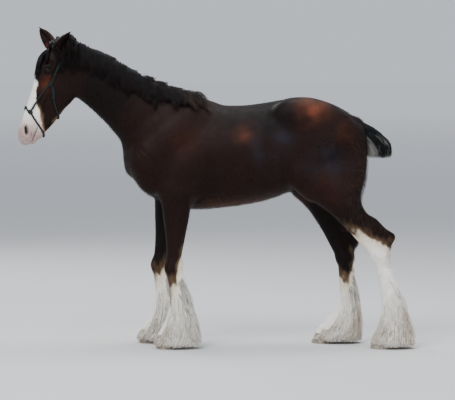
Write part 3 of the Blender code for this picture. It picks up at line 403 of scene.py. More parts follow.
TRUNK_EGGS = (
    # shoulder blade, upper arm, breast
    (-0.08, 1.26, 0.085, -0.41, 0.94, 0.115, 0.11, 0.070, 0.05),
    (-0.12, 1.06, 0.13, -0.26, 0.78, 0.13, 0.095, 0.062, 0.04),
    (-0.40, 1.10, 0.085, -0.34, 0.82, 0.09, 0.078, 0.066, 0.07),
    # croup, stifle, buttock
    (0.34, 1.27, 0.105, 0.74, 1.10, 0.10, 0.125, 0.090, 0.05),
    (0.48, 1.22, 0.12, 0.49, 0.80, 0.125, 0.12, 0.075, 0.05),
    (0.735, 1.18, 0.07, 0.70, 0.76, 0.10, 0.080, 0.068, 0.05),
    # elbow, hip bone, muscle over the stifle
    (-0.10, 0.90, 0.150, -0.14, 0.80, 0.135, 0.040, 0.036, 0.03),
    (0.32, 1.27, 0.120, 0.46, 1.20, 0.145, 0.060, 0.045, 0.07),
    (0.44, 1.00, 0.150, 0.49, 0.84, 0.150, 0.075, 0.055, 0.05),
)
TRUNK_GROOVES = (
    # before the thigh, behind the elbow, down the back of the thigh, over the windpipe
    (0.400, 1.25, 0.228, 0.405, 0.93, 0.240, 0.024, 0.040, -0.030),
    (-0.035, 1.06, 0.230, -0.070, 0.80, 0.215, 0.020, 0.036, -0.025),
    (0.655, 1.10, 0.205, 0.660, 0.86, 0.200, 0.018, 0.038, -0.030),
    (-0.70, 1.33, 0.115, -0.42, 1.06, 0.165, 0.018, 0.036, -0.030),
)


def trunk_forms():
    front, back = TRUNK[0][0], TRUNK[-1][0]
    rows = [
        ((back - x) / (back - front), top - TRUNK_AXIS_Z, TRUNK_AXIS_Z - bottom, *rest)
        for x, top, bottom, *rest in reversed(TRUNK)
    ]
    yield sweep(flat(back, TRUNK_AXIS_Z), flat(front, TRUNK_AXIS_Z), rows, cap=0.05), 0.01
    yield from paired(TRUNK_EGGS)


def eye_middle(side):
    down, out, across = EYE
    return on_head(down, out, across * side)


# Eggs on the head: from a place and to a place (down, out, to the side), deep, wide, blend
BONES = (
    # cheek, bar of the jaw, cheek bone, brow, arch of bone behind the eye, nostril's rim
    (0.07, -0.03, 0.040, 0.30, -0.055, 0.034, 0.078, 0.030, 0.02),
    (0.22, -0.075, 0.036, 0.48, -0.004, 0.020, 0.024, 0.018, 0.03),
    (0.15, 0.055, 0.066, 0.36, 0.040, 0.040, 0.012, 0.014, 0.02),
    (0.085, 0.080, 0.056, 0.200, 0.066, 0.062, 0.036, 0.034, 0.02),
    (0.045, 0.030, 0.058, 0.155, 0.062, 0.074, 0.014, 0.013, 0.025),
    (0.432, 0.086, 0.030, 0.516, 0.058, 0.033, 0.032, 0.024, 0.02),
)
LIPS = (
    # upper lip, lower lip, chin
    (0.44, 0.070, 0, 0.553, 0.048, 0, 0.044, 0.040, 0.02),
    (0.43, 0.008, 0, 0.535, 0.016, 0, 0.022, 0.030, 0.015),
    (0.435, -0.012, 0, 0.495, -0.006, 0, 0.022, 0.026, 0.015),
)
OPENINGS = (
    # nostril and the fold over it, line of the mouth, hollow over the eye, opening of the lids
    (0.448, 0.086, 0.044, 0.502, 0.062, 0.046, 0.012, 0.024, -0.005),
    (0.432, 0.094, 0.044, 0.470, 0.090, 0.048, 0.007, 0.013, -0.005),
    (0.420, 0.020, 0.046, 0.545, 0.024, 0.020, 0.0034, 0.011, -0.003),
    (0.070, 0.088, 0.068, 0.115, 0.096, 0.068, 0.012, 0.014, -0.015),
    (0.120, 0.078, 0.096, 0.165, 0.069, 0.094, 0.0115, 0.013, -0.003),
)
FOLDS = (
    # fold over the upper lid, bag under the lower one, wrinkle behind the nostril
    (0.112, 0.088, 0.090, 0.168, 0.083, 0.088, 0.0016, 0.007, -0.004),
    (0.130, 0.060, 0.092, 0.172, 0.057, 0.088, 0.0035, 0.006, 0.006),
    (0.470, 0.046, 0.048, 0.500, 0.036, 0.040, 0.0016, 0.006, -0.003),
    # vein down the face, tendon along the throat
    (0.215, 0.062, 0.060, 0.330, 0.050, 0.047, 0.0035, 0.0035, 0.008),
    (0.265, 0.030, 0.058, 0.355, 0.056, 0.046, 0.0030, 0.0030, 0.008),
)


def on_face(table, sides=(NEAR, FAR)):
    """The eggs of a table, each deep along the face's own axis."""
    for side in sides:
        for *ends, deep, wide, blend in table:
            start, end = (on_head(*spot) for spot in np.reshape(ends, (2, 3)) * (1, 1, side))
            yield egg(start, end, deep, wide, HEAD_AXES[2]), blend


def head_forms():
    length = HEAD_BOTTOM - HEAD_TOP
    rows = [((down - HEAD_TOP) / length, *reach, 2.6, 2.2) for down, *reach in HEAD]
    ends = on_head(HEAD_TOP, 0), on_head(HEAD_BOTTOM, 0)
    yield sweep(*ends, rows, HEAD_AXES[2], cap=0.025), 0.05
    yield from on_face(BONES)
    yield from on_face(LIPS, (NEAR,))
    for side in (NEAR, FAR):
        yield ball(eye_middle(side), EYE_RADIUS + LID), 0.008
    yield from on_face(OPENINGS)
    # between the lips in front
    lips = on_head(0.540, 0.025, -0.020), on_head(0.540, 0.025, 0.020)
    yield egg(*lips, 0.0034, 0.012, HEAD_AXES[0]), -0.003


def leg_line(joints, sides, side):
    return [flat(x, z, y * side) for (x, z), y in zip(joints, sides)]


def below(point, away):
    """The pastern's line carried on past its end, into the hoof."""
    return point + (point - away) * 0.1


def fore_forms(side):
    elbow, knee, fetlock, coronet = leg_line(FORE_JOINTS[side], FORE_SIDE, side)
    up = flat(0, 1)
    yield sweep(elbow, knee, FOREARM), 0.05
    yield sweep(knee, fetlock, FORE_CANNON), 0.015
    yield egg(knee + up * 0.06, knee - up * 0.055, 0.047, 0.044), 0.02
    yield egg(knee + flat(0.034, 0.045), knee + flat(0.036, -0.005), 0.018, 0.018), 0.02
    yield sweep(fetlock, below(coronet, fetlock), PASTERN), 0.015


def hind_forms(side):
    stifle, hock, fetlock, coronet = leg_line(HIND_JOINTS[side], HIND_SIDE, side)
    point = flat(*HOCK_POINT[side], HIND_SIDE[1] * side)
    up = flat(0, 1)
    yield sweep(stifle, hock, GASKIN), 0.06
    yield sweep(hock, fetlock, HIND_CANNON), 0.015
    yield egg(hock + up * 0.05, hock - up * 0.06, 0.050, 0.044), 0.02
    # heel bone, the tendon down to it, and the web of skin before the tendon
    yield egg(hock * 1.15 - point * 0.15, point * 1.12 - hock * 0.12, 0.027, 0.025), 0.02
    tendon = stifle * 0.42 + hock * 0.58 + flat(0.045, 0.055)
    yield egg(tendon * 1.1 - point * 0.1, point * 1.05 - tendon * 0.05, 0.018, 0.016), 0.03
    web = tendon * 0.5 + point * 0.5 - flat(0.022, 0.028)
    yield egg(web * 1.6 - hock * 0.6, web * 0.4 + hock * 0.6, 0.040, 0.014), 0.03
    yield egg(point - flat(0.085, -0.010), point, 0.022, 0.015), 0.03
    yield sweep(fetlock, below(coronet, fetlock), PASTERN), 0.015


def dock_forms():
    start, end = flat(*DOCK_FROM), flat(*DOCK_TO)
    rows = [(share, *(DOCK_RADII[share],) * 3) for share in (0, 1)]
    yield sweep(start, end, rows), 0.03


BODY = [
    *trunk_forms(),
    (sweep(flat(*NECK_FROM), flat(*NECK_TO), NECK), 0.06),
    *paired(TRUNK_GROOVES),
    (egg(flat(0.385, 0.850), flat(0.505, 0.835), 0.036, 0.030), 0.03),  # the sheath
    *head_forms(),
    *(form for side in (NEAR, FAR) for form in fore_forms(side)),
    *(form for side in (NEAR, FAR) for form in hind_forms(side)),
    *dock_forms(),
]


def evenly(places, spacing, more=0):
    """Points about this far apart along a smooth curve through the places."""
    knots = run_of(places)
    count = round(knots[-1] / spacing) + more
    return smooth_rows(np.column_stack([knots, places]), np.linspace(0, knots[-1], count))


SKIN_DEPTH, HEAD_DEPTH = 0.003, 0.0012  # how far the skin lies inside the solids, for the coat
SKIN_STEP, HEAD_STEP = 0.0062, 0.0030
BLOCK = 4  # grid steps along a side of the blocks in which the surface is looked for
NAPE = np.array((-0.775, 0.0, 1.64)), np.array((-0.977, 0.0, -0.211))
NAPE_BLEND = 0.04
SEAM = 0.004  # the gap that is sewn up
SEWN_BAND = 0.010  # to both sides of the nape, smoothed after the sewing
SKIN_BOX = (-1.16, -0.30, -0.02), (1.10, 0.30, 1.76)
HEAD_BOX = (-1.16, -0.34, 1.00), (-0.64, 0.30, 1.76)
HEAD_ABOVE = 1.0  # the height above which a face may belong to the head
NECK_HALF = 0.085  # what is farther to the side, up here, is an ear
EARS_ABOVE = 1.5
FLOOR_CLEAR = 0.005

# Colours of the coat
BAY = np.array((0.0052, 0.0028, 0.0027))
RUST = np.array((0.140, 0.040, 0.019))
# the colour of the sky's bluish sheen, painted on the coat
SKY_SHEEN = np.array((0.020, 0.022, 0.034))
BLACK = np.array((0.0042, 0.0048, 0.0058))
WHITE = np.array((0.88, 0.85, 0.78))
CREAM = np.array((0.70, 0.60, 0.45))
TAN = np.array((0.36, 0.22, 0.12))
STAIN = np.array((0.52, 0.34, 0.19))
PINK = np.array((0.34, 0.205, 0.19))
GREY = np.array((0.26, 0.25, 0.23))

draw = np.random.default_rng(11)


def ear_axes(side):
    """An ear's root, its way to the tip, its way out of the cup, and sideways."""
    points_to, faces_to = (unit(v) for v in EAR_LIE[side])
    down, out, across = EAR_ROOT
    root = on_head(down, out, across * side)
    face = unit(faces_to - points_to * (faces_to @ points_to))
    lateral = unit(np.cross(points_to, faces_to))
    if np.cross(lateral, points_to) @ face < 0:
        lateral = -lateral
    return root, points_to, face, lateral


def ear_forms(side):
    """An ear's leaf, as much thicker as the skin lies deep, and its cup."""
    root, points_to, face, lateral = ear_axes(side)
    rows = [(share, *(r + HEAD_DEPTH for r in reach)) for share, *reach in EAR]
    tip = root + points_to * EAR_LENGTH
    cup = root + points_to * EAR_LENGTH * 0.56 + face * 0.016
    half = points_to * EAR_LENGTH * 0.40
    yield sweep(root, tip, rows, lateral, cap=0.012), 0.016
    yield egg(cup - half, cup + half, 0.028, 0.027, lateral), -0.004


def coat_depth(points):
    """How deep the skin lies: less on the head than behind it."""
    place, way = NAPE
    share = np.clip((points - place) @ way / NAPE_BLEND + 0.5, 0, 1)
    share = share * (points[:, 2] > HEAD_ABOVE)
    return SKIN_DEPTH + (HEAD_DEPTH - SKIN_DEPTH) * share


def narrow_surface(forms, low, high, step):
    """The surface of the skin as points and quads. It is measured finely only in the blocks of
    the box that it passes near."""
    low = np.asarray(low, float)
    counts = np.ceil((np.asarray(high) - low) / (step * BLOCK)).astype(int)
    middles = [a + (np.arange(n) + 0.5) * BLOCK * step for a, n in zip(low, counts)]
    points = np.stack(np.meshgrid(*middles, indexing="ij"), -1).reshape(-1, 3)
    rough = field(forms, points).reshape(counts)
    near = np.abs(rough) < BLOCK * step * 1.7
    value, fine = rough.astype(np.float32), near
    for axis in range(3):
        value, fine = (np.repeat(grid, BLOCK, axis) for grid in (value, fine))
    spots = low + np.argwhere(fine) * step
    depth = coat_depth(spots)
    value[fine] = field(forms, spots, depth) + depth
    grid = openvdb.FloatGrid(1.0)
    grid.copyFromArray(value)
    corners, quads = grid.convertToQuads()
    return low + corners * step, quads


def linked(name, data):
    obj = bpy.data.objects.new(name, data)
    bpy.context.scene.collection.objects.link(obj)
    return obj


def new_mesh(name, points, faces):
    """An object from arrays of points and of faces that all have as many corners."""
    mesh = bpy.data.meshes.new(name)
    faces = np.asarray(faces, np.int32)
    count, corners = faces.shape
    mesh.vertices.add(len(points))
    mesh.vertices.foreach_set("co", np.asarray(points, np.float32).ravel())
    mesh.loops.add(count * corners)
    mesh.loops.foreach_set("vertex_index", faces.ravel())
    mesh.polygons.add(count)
    mesh.polygons.foreach_set("loop_start", np.arange(0, count * corners, corners, dtype=np.int32))
    mesh.update(calc_edges=True)
    mesh.shade_smooth()
    return linked(name, mesh)


def spots_of(mesh):
    spots = np.empty(len(mesh.vertices) * 3, np.float32)
    mesh.vertices.foreach_get("co", spots)
    return spots.reshape(-1, 3).astype(float)


def is_ear(vertex):
    return abs(vertex.co.y) > NECK_HALF and vertex.co.z > EARS_ABOVE


def is_cut(part):
    """Whether the cut at the nape is for this vertex, edge or face."""
    spots = [part] if isinstance(part, bmesh.types.BMVert) else part.verts
    return all(v.co.z > HEAD_ABOVE and not is_ear(v) for v in spots)


def make_skin(forms):
    """The whole skin: the body, and the head more finely, sewn together behind the ears."""
    whole = bmesh.new()
    place, way = (Vector(v) for v in NAPE)
    for low, high, step, kept in ((*SKIN_BOX, SKIN_STEP, 1), (*HEAD_BOX, HEAD_STEP, -1)):
        part = new_mesh("part", *narrow_surface(forms, low, high, step))
        bm = bmesh.new()
        bm.from_mesh(part.data)
        bpy.data.objects.remove(part)
        if kept > 0:
            bmesh.ops.delete(bm, geom=[v for v in bm.verts if is_ear(v)], context="VERTS")
        bmesh.ops.bisect_plane(
            bm,
            geom=[g for g in (*bm.verts, *bm.edges, *bm.faces) if is_cut(g)],
            dist=1e-6,
            plane_co=place - way * SEAM / 2 * kept,
            plane_no=way * kept,
            clear_outer=True,
        )
        half = bpy.data.meshes.new("half")
        bm.to_mesh(half)
        whole.from_mesh(half)
        bm.free()
    bmesh.ops.bridge_loops(whole, edges=[e for e in whole.edges if e.is_boundary])
    bmesh.ops.triangulate(whole, faces=whole.faces)
    sewn = [v for v in whole.verts if v.co.z > HEAD_ABOVE and abs((v.co - place) @ way) < SEWN_BAND]
    all_ways = {f"use_axis_{axis}": True for axis in "xyz"}
    for _ in range(2):
        bmesh.ops.smooth_vert(whole, verts=sewn, factor=0.4, **all_ways)
    bmesh.ops.recalc_face_normals(whole, faces=whole.faces)
    mesh = bpy.data.meshes.new("skin")
    whole.to_mesh(mesh)
    whole.free()
    mesh.shade_smooth()
    return linked("skin", mesh)


def ripple(points, size, seed=0):
    """A smooth, irregular value of about -1 to 1 that varies over this size."""
    dice = np.random.default_rng(seed)
    total = np.zeros(len(points))
    for _ in range(7):
        way = dice.normal(size=3)
        wave = 2 * math.pi / (size * dice.uniform(0.8, 2.2)) * way / np.linalg.norm(way)
        total += np.sin(points @ wave + dice.uniform(0, 2 * math.pi))
    return total / 2.6


def rise(value, width):
    """From 0 to 1 as the value passes 0, over this width."""
    t = np.clip(value / width + 0.5, 0, 1)
    return t * t * (3 - 2 * t)


def blot(points, x, z, size):
    """A soft round patch on both flanks."""
    return np.exp(-((points[:, 0] - x) ** 2 + (points[:, 2] - z) ** 2) / size**2)


def laid(colour, share, other):
    return colour + np.asarray(share)[:, None] * (other - colour)


LEG_WHITE = {  # each leg: (how far behind its line, where the white ends at that place)
    ("fore", NEAR): ((-0.060, 0.335), (0.008, 0.345), (0.024, 0.430), (0.042, 0.500)),
    ("fore", FAR): ((-0.060, 0.360), (0.000, 0.375), (0.025, 0.415), (0.045, 0.440)),
    ("hind", NEAR): ((-0.055, 0.610), (0.000, 0.628), (0.022, 0.582), (0.057, 0.552), (0.100, 0.515)),
    ("hind", FAR): ((-0.080, 0.380), (-0.040, 0.365), (0.010, 0.320), (0.050, 0.450), (0.100, 0.470)),
}
FORE_STRIPE = {NEAR: 0.205, FAR: 0.330}  # how far down the dark stripe on the cannon's front goes
SUNLIT_PATCHES = (  # painted sunlight in soft patches on both flanks: (x, z, size, strength)
    (0.505, 1.275, 0.070, 0.85),
    (0.140, 1.135, 0.048, 0.40),
    (0.190, 1.160, 0.035, 0.22),
    (-0.16, 1.10, 0.08, 0.10),
    (0.67, 1.15, 0.06, 0.20),
    (0.60, 0.86, 0.09, 0.08),
)
SKY_SHEEN_PATCHES = ((0.25, 1.06, 0.085), (0.60, 1.00, 0.105), (0.36, 1.12, 0.05))  # painted bluish sheen of the sky on both flanks: (x, z, size)
BLAZE = ((0.185, 0.130), (0.205, 0.106), (0.25, 0.092), (0.30, 0.084), (0.335, 0.060), (0.365, 0.036),
         (0.40, 0.022), (0.43, 0.002), (0.46, -0.024), (0.50, -0.060), (0.53, -0.110))

NOSTRIL = (0.476, 0.0735)  # down the face, out of the face
NOSTRIL_AXES = np.array(((0.914, 0.406), (-0.406, 0.914)))  # columns: along its slit, across it
NOSTRIL_SIZE = (0.022, 0.0085)
IRIS, EYE_RIM = (0.016, 0.007, 0.004), np.array((0.008, 0.005, 0.004))


def legs():
    """Every leg: its name, side and joints, how far each joint is from the middle, and where its
    long hair begins and reaches."""
    for side in (NEAR, FAR):
        yield "fore", side, FORE_JOINTS[side], FORE_SIDE, FORE_FEATHER_FROM, FORE_FEATHER
        yield "hind", side, HIND_JOINTS[side], HIND_SIDE, HIND_FEATHER_FROM, HIND_FEATHER


def body_colours(points):
    """Dark bay with painted patches of sunlight and of the sky's bluish sheen, a warmer belly and a black
    dock.
    """
    x, _, z = points.T
    colour = np.tile(BAY, (len(points), 1))
    warmth_and_sunlight = 0.05 * rise(ripple(points, 0.30, 3), 1.6)
    uneven = rise(0.7 + ripple(points, 0.07, 4), 4.5)
    # painted sunlight: warm patches where the sun falls on the croup, ribs and flanks
    for at_x, at_z, size, strength in SUNLIT_PATCHES:
        warmth_and_sunlight = warmth_and_sunlight + strength * blot(points, at_x, at_z, size) * uneven
    colour = laid(colour, np.clip(warmth_and_sunlight, 0, 0.85), RUST)
    uneven = rise(0.3 + ripple(points, 0.09, 5), 4.0)
    # painted reflection: the sky's bluish sheen on the barrel and thigh
    for at_x, at_z, size in SKY_SHEEN_PATCHES:
        colour = laid(colour, 0.5 * blot(points, at_x, at_z, size) * uneven, SKY_SHEEN)
    belly = rise(0.77 + 0.05 * np.abs(x) - z, 0.10) * rise(x + 0.06, 0.08) * rise(0.46 - x, 0.08)
    colour = laid(colour, 0.22 * belly, RUST)
    dock = rise(0.075 - np.hypot(x - 0.84, z - 1.10), 0.04) * rise(x - 0.785, 0.02)
    return laid(colour, dock, BLACK)


def leg_colours(points, colour, name, side, joints, wander, fray):
    """White below an uneven edge with a tan fringe; a dark stripe down the front of the knee."""
    x, y, z = points.T
    spots = np.array(joints)
    behind = x - np.interp(z, spots[::-1, 1], spots[::-1, 0])
    here = (np.sign(y) == side) & (z < 0.70) & ((x < 0.15) == (name == "fore"))
    edge = np.interp(behind, *np.transpose(LEG_WHITE[name, side]))
    white = rise(edge + 0.010 * wander + 0.004 * fray - z, 0.034)
    fringe = 0.225 * rise(edge + 0.05 + 0.02 * wander - z, 0.09)
    if name == "fore":
        front = np.exp(-(((behind + 0.034) / 0.012) ** 2))
        stripe = front * rise(z - FORE_STRIPE[side] + 0.01 * wander, 0.10)
        white = white * (1 - 0.75 * stripe)
    tone = laid(CREAM, rise(edge - 0.06 - z, 0.12), WHITE)
    shade = laid(laid(colour, fringe, TAN), white, tone)
    return np.where(here[:, None], shade, colour)


def face_colours(colour, down, out, on, wander, fray):
    """A warm cheek and jaw, and the blaze, which spreads over the bare, pink muzzle."""
    cheek = np.exp(-(((down - 0.205) / 0.050) ** 2 + ((out - 0.055) / 0.030) ** 2))
    colour = laid(colour, 0.45 * cheek * on, RUST)
    jaw = rise(-0.046 - out + 0.30 * (down - 0.40) + 0.005 * wander, 0.03) * rise(down - 0.33, 0.08)
    colour = laid(colour, 0.38 * jaw * on, TAN)
    edge = np.interp(down, *np.transpose(BLAZE))
    fringe = rise(out - edge + 0.014 + 0.006 * wander, 0.026) * rise(down - 0.33, 0.05) * on
    colour = laid(colour, 0.60 * fringe, TAN)
    blaze = rise(out - edge + 0.003 * wander + 0.0010 * fray, 0.008) * on
    colour = laid(colour, blaze, WHITE)
    bare = rise(down - 0.435 + 0.008 * wander, 0.11) * blaze
    return laid(colour, 0.85 * bare, PINK)


# painted shade: how far each point lies within the dark opening of the nostril
def nostril_shade_share(down, out):
    hole = np.stack([down - NOSTRIL[0], out - NOSTRIL[1]], -1) @ NOSTRIL_AXES / NOSTRIL_SIZE
    return 0.93 * rise(1.0 - np.linalg.norm(hole, axis=1), 0.5)


def ear_colours(points, colour, side, on):
    """Brown in the cup, a painted highlight in tan at the near one's tip, and dark round the rim."""
    root, points_to, face, lateral = ear_axes(side)
    local = points - root
    share, cup, off = local @ points_to / EAR_LENGTH, local @ face, local @ lateral
    ear = on * ((share > 0.16) & (share < 1.1) & (np.hypot(cup, off) < 0.05))
    within = 0.022 * (1.1 - share) + 0.004 - np.abs(off)
    colour = laid(colour, 0.8 * ear * rise(cup + 0.004, 0.010) * rise(within, 0.012), RUST * 0.45)
    # painted highlight: the lit back of the near ear's tip, in tan
    return laid(colour, 0.9 * (side == NEAR) * ear * rise(share - 0.78, 0.18), TAN)


def markings(points):
    """The colour of skin and coat at each point."""
    wander, fray = ripple(points, 0.03, 1), ripple(points, 0.008, 2)
    colour = body_colours(points)
    for name, side, joints, *_ in legs():
        colour = leg_colours(points, colour, name, side, joints, wander, fray)
    down, out, across = ((points - POLL) @ HEAD_AXES.T).T
    on = ((down > -0.02) & (points[:, 0] < -0.70)).astype(float)
    colour = face_colours(colour, down, out, on, wander, fray)
    for side in (NEAR, FAR):
        eye = np.linalg.norm(points - eye_middle(side), axis=1)
        colour = laid(colour, 0.9 * rise(0.030 - eye, 0.014), BLACK)
        # painted shade in the nostril's opening, on its outer side
        hole = on * nostril_shade_share(down, out) * (across * side >= 0.015)
        colour = ear_colours(points, laid(colour, hole, BLACK * 3), side, on)
    return np.clip(colour, 0, 1)


def set_colours(obj, colours):
    layer = obj.data.color_attributes.new("Coat", "FLOAT_COLOR", "POINT")
    full = np.pad(colours, ((0, 0), (0, 1)), constant_values=1.0)
    layer.data.foreach_set("color", full.astype(np.float32).ravel())


PATCH = 0.0015  # half the size of a strand's place on the bake's map


def strand_faces(steps):
    """The faces of one strand: rings of three points, and one point at the tip."""
    faces = [(0, 2, 1)]
    tip, last = 3 * (steps - 1), 3 * (steps - 2)
    sides = ((0, 1), (1, 2), (2, 0))
    for ring in range(0, last, 3):
        for a, b in sides:
            faces += [(ring + a, ring + b, ring + b + 3), (ring + a, ring + b + 3, ring + a + 3)]
    faces += [(last + a, last + b, tip) for a, b in sides]
    return np.array(faces)


def make_strands(name, routes, outs, wide, root_colours, tip_colours, at, material):
    """One mesh of closed, tapered strands. routes: (strand, point, axis); outs: which way each
    strand's flat side faces; wide: half its width; at: its place on the unwrapped skin."""
    count, steps, _ = routes.shape
    shares = np.linspace(0, 1, steps)
    along = units(np.gradient(routes, axis=1))
    if outs.ndim == 2:
        outs = np.repeat(outs[:, None], steps, 1)
    across = units(np.cross(outs, along))
    up = np.cross(along, across)
    profile = np.interp(shares, (0, 0.25, 0.7, 1), (0.75, 1.0, 0.75, 0.15))
    size = (wide[:, None] * profile)[..., None]
    rings = np.stack([routes + across * size, routes - across * size, routes + up * size * 0.4], 2)
    rings = rings[:, :-1].reshape(count, -1, 3)
    points = np.concatenate([rings, routes[:, -1:]], 1)
    faces = strand_faces(steps) + points.shape[1] * np.arange(count)[:, None, None]
    obj = new_mesh(name, points.reshape(-1, 3), faces.reshape(-1, 3))
    t = np.concatenate([np.repeat(shares[:-1], 3), [1.0]])[None, :, None]
    colours = root_colours[:, None] * (1 - t) + tip_colours[:, None] * t
    set_colours(obj, colours.reshape(-1, 3))
    side = np.concatenate([np.tile((-1.0, 1.0, 0.0), steps - 1), [0.0]])
    place = at[:, None] + PATCH * np.stack(np.broadcast_arrays(side, 2 * t[0, :, 0] - 1), -1)
    layer = obj.data.uv_layers.new(name="OFBake")
    layer.uv.foreach_set("vector", place.reshape(-1, 2)[faces.ravel()].astype(np.float32).ravel())
    obj.data.materials.append(material)
    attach(obj, "root")
    return obj


def unrolled(points, start, end):
    """Places on the skin unrolled round a line, filling the unit square."""
    along, front, side, _ = frame_along(start, end, SIDEWAYS)
    local = points - start
    turn = np.arctan2(local @ side, local @ front) / (2 * math.pi) + 0.5
    down = local @ along
    down = (down - down.min()) / max(np.ptp(down), 1e-6)
    return 0.01 + 0.98 * np.stack([turn, down], -1)


def bell(side, joints, sides, top, rows):
    """One lower leg's hair: where its line starts and ends, and its reach along that line. It
    goes down from behind the knee or hock to the floor, and its front follows the pastern."""
    _, joint, fetlock, coronet = leg_line(joints, sides, side)
    start = joint + (fetlock - joint) * (joint[2] - top) / (joint[2] - fetlock[2])
    lean = fetlock[0] - coronet[0]
    shift = max(0.0, lean - HAIR_LEAN)
    bend = (top - fetlock[2]) / (top - FEATHER_TO)
    leaning = [
        (share, ahead + lean * max(0.0, share - bend) / (1 - bend) - shift * share, *rest)
        for share, ahead, *rest in rows
    ]
    return start, flat(fetlock[0] - shift, FEATHER_TO, fetlock[1]), leaning


def feather_core(start, end, rows, leg=0.032):
    """The inner part of the hair, which the skin carries."""
    inner = [(share, *(leg + (r - leg) * 0.68 for r in reach)) for share, *reach in rows]
    return sweep(start, end + (start - end) * 0.17, inner, cap=0.03), 0.012


FEATHER_STEPS = 6


def feather_clumps(clumps):
    """Each clump's place along the leg and its turn about it, its length, and its depth."""
    share = np.clip(draw.beta(2.0, 1.15, clumps) * 0.96 - 0.03, -0.03, 0.885)
    widest = np.interp(share, (0.0, 0.25, 0.45, 0.60, 0.76), (0.30, 0.48, 0.82, 1.0, 1.0))
    around = math.pi * (1 - widest * np.sqrt(draw.uniform(0, 1, clumps)) ** 1.1)
    around *= draw.choice((-1, 1), clumps)
    length = np.interp(share, (0, 0.4, 0.7, 0.88), (0.17, 0.20, 0.15, 0.060))
    length *= draw.uniform(0.85, 1.15, clumps) * np.where(np.abs(around) < 1.2, 0.75, 1.0)
    layer = draw.uniform(0.74, 1.0, clumps)
    ahead_or_low = (np.abs(around) < 1.9) | (share > 0.74)
    return share, around, length, np.where(ahead_or_low, 0.35 + 0.65 * layer, layer)


def feather_colours(name, roots, angle, height):
    """Each strand's colour along it and at its tip: pale, and stained low down and at the toe."""
    n = len(roots)
    base = markings(roots)
    pale = WHITE * draw.uniform(1.00, 1.10, (n, 1))
    pale = laid(pale, draw.uniform(0, 1, n) ** 2 * 0.50, CREAM)
    bright = base.mean(1, keepdims=True)
    base = np.where(bright > 0.25, pale, base * draw.uniform(0.8, 1.3, (n, 1)))
    rear = rise(-np.cos(angle) - 0.2, 0.8) * (0.25 if name == "fore" else 1.0)
    low = rise(0.17 - height, 0.12)
    toe = 0.75 * rise(np.cos(angle) - 0.45, 0.5) * rise(0.10 - height, 0.06)
    stain = np.maximum(0.75 * rear * low, toe) * draw.uniform(0, 1, n)
    return base, laid(np.maximum(base, pale * 0.95), stain, STAIN)


def make_feather(material, name, side, *leg, clumps=330, each=17):
    """The long hair of one lower leg, in clumps whose strands draw together towards their tips."""
    start, end, rows = bell(side, *leg)
    long = np.linalg.norm(end - start)
    share, around, length, layer = feather_clumps(clumps)
    n = clumps * each
    t = np.linspace(0, 1, FEATHER_STEPS)
    spread = draw.normal(size=(3, clumps, each))
    narrow = 1 - 0.55 * t
    share_at = (share[:, None] + 0.024 * spread[0]).reshape(n, 1) + t * (
        (length[:, None] * draw.uniform(0.75, 1.08, (clumps, each))).reshape(n, 1) / long
    )
    lowest = 1.0 - draw.uniform(0.0, 0.045, (n, 1))
    share_at = np.minimum(share_at, lowest)
    wide = 0.19 * spread[1].reshape(n, 1) * narrow
    angle = np.repeat(around, each)[:, None] + wide
    reach = np.clip(np.repeat(layer, each)[:, None] + 0.035 * spread[2].reshape(n, 1), 0.12, 1.03)
    quick = np.repeat((share > 0.70) | (np.abs(around) < 1.8), each)[:, None] * 1.0
    ways = np.interp(t, (0, 0.2, 0.45, 0.75, 1.0), (0.0, 0.52, 0.84, 0.98, 1.0))
    fast = np.interp(t, (0, 0.2, 0.45, 0.75, 1.0), (0.45, 0.80, 0.95, 1.0, 1.0))
    out = reach * (ways * (1 - quick) + fast * quick)
    flat_share = np.clip(share_at.ravel(), 0, 1)
    tops = smooth_rows(rows, flat_share)
    line = start + (end - start) * np.clip(share_at, -0.05, 1).reshape(-1, 1)
    tops = tops * (1 - 0.13 * np.clip((flat_share[:, None] - 0.86) / 0.14, 0, 1) ** 2)
    ahead, back, half = (tops + (0.007, 0.0, 0.004)).T
    cos, sin = np.cos(angle).ravel(), np.sin(angle).ravel()
    outline = line + np.stack([-(ahead - back) / 2 - (ahead + back) / 2 * cos, half * sin, 0 * half], -1)
    leg = line + 0.018 * np.stack([-cos, sin, 0 * cos], -1)
    out = out.reshape(-1, 1)
    routes = (leg * (1 - out) + outline * out).reshape(n, FEATHER_STEPS, 3)
    phase = np.repeat(draw.uniform(0, 6.3, clumps), each)[:, None] + draw.normal(size=(n, 1)) * 0.5
    wave = np.sin(t * 7 + phase) * 0.0030 * t
    routes[..., 1] += wave
    routes[..., 0] += wave[:, ::-1] * 0.7
    routes[..., 2] = np.maximum(routes[..., 2], FLOOR_CLEAR)
    facing = np.stack([-np.cos(angle), np.sin(angle), 0 * angle], -1)
    roots = routes[:, 0]
    base, tips = feather_colours(name, roots, angle[:, 0], routes[:, -1, 2])
    where = unrolled(roots, start, end)
    size = draw.uniform(0.0014, 0.0028, n)
    name = f"feather_{name}_{SIDE_NAMES[side]}"
    return make_strands(name, routes, facing, size, base, tips, where, material)


def laid_flat(ways, outs):
    """The ways without what stands off the skin."""
    return ways - outs * np.sum(ways * outs, 1, keepdims=True)


def drape(roots, headings, lengths, offs, pull):
    """Routes that start this way and then fall, lying over the body at these distances."""
    step = np.asarray(lengths)[:, None] / (offs.shape[1] - 1)
    spot, heading = roots, units(headings)
    routes, outs = [], []
    for off in offs.T:
        spot = set_off(BODY, spot, off, 3)
        out = outward(BODY, spot)
        routes.append(spot)
        outs.append(out)
        heading = units(heading - flat(0, pull))
        spot = spot + units(laid_flat(heading, out)) * step
    return np.stack(routes, 1), np.stack(outs, 1)


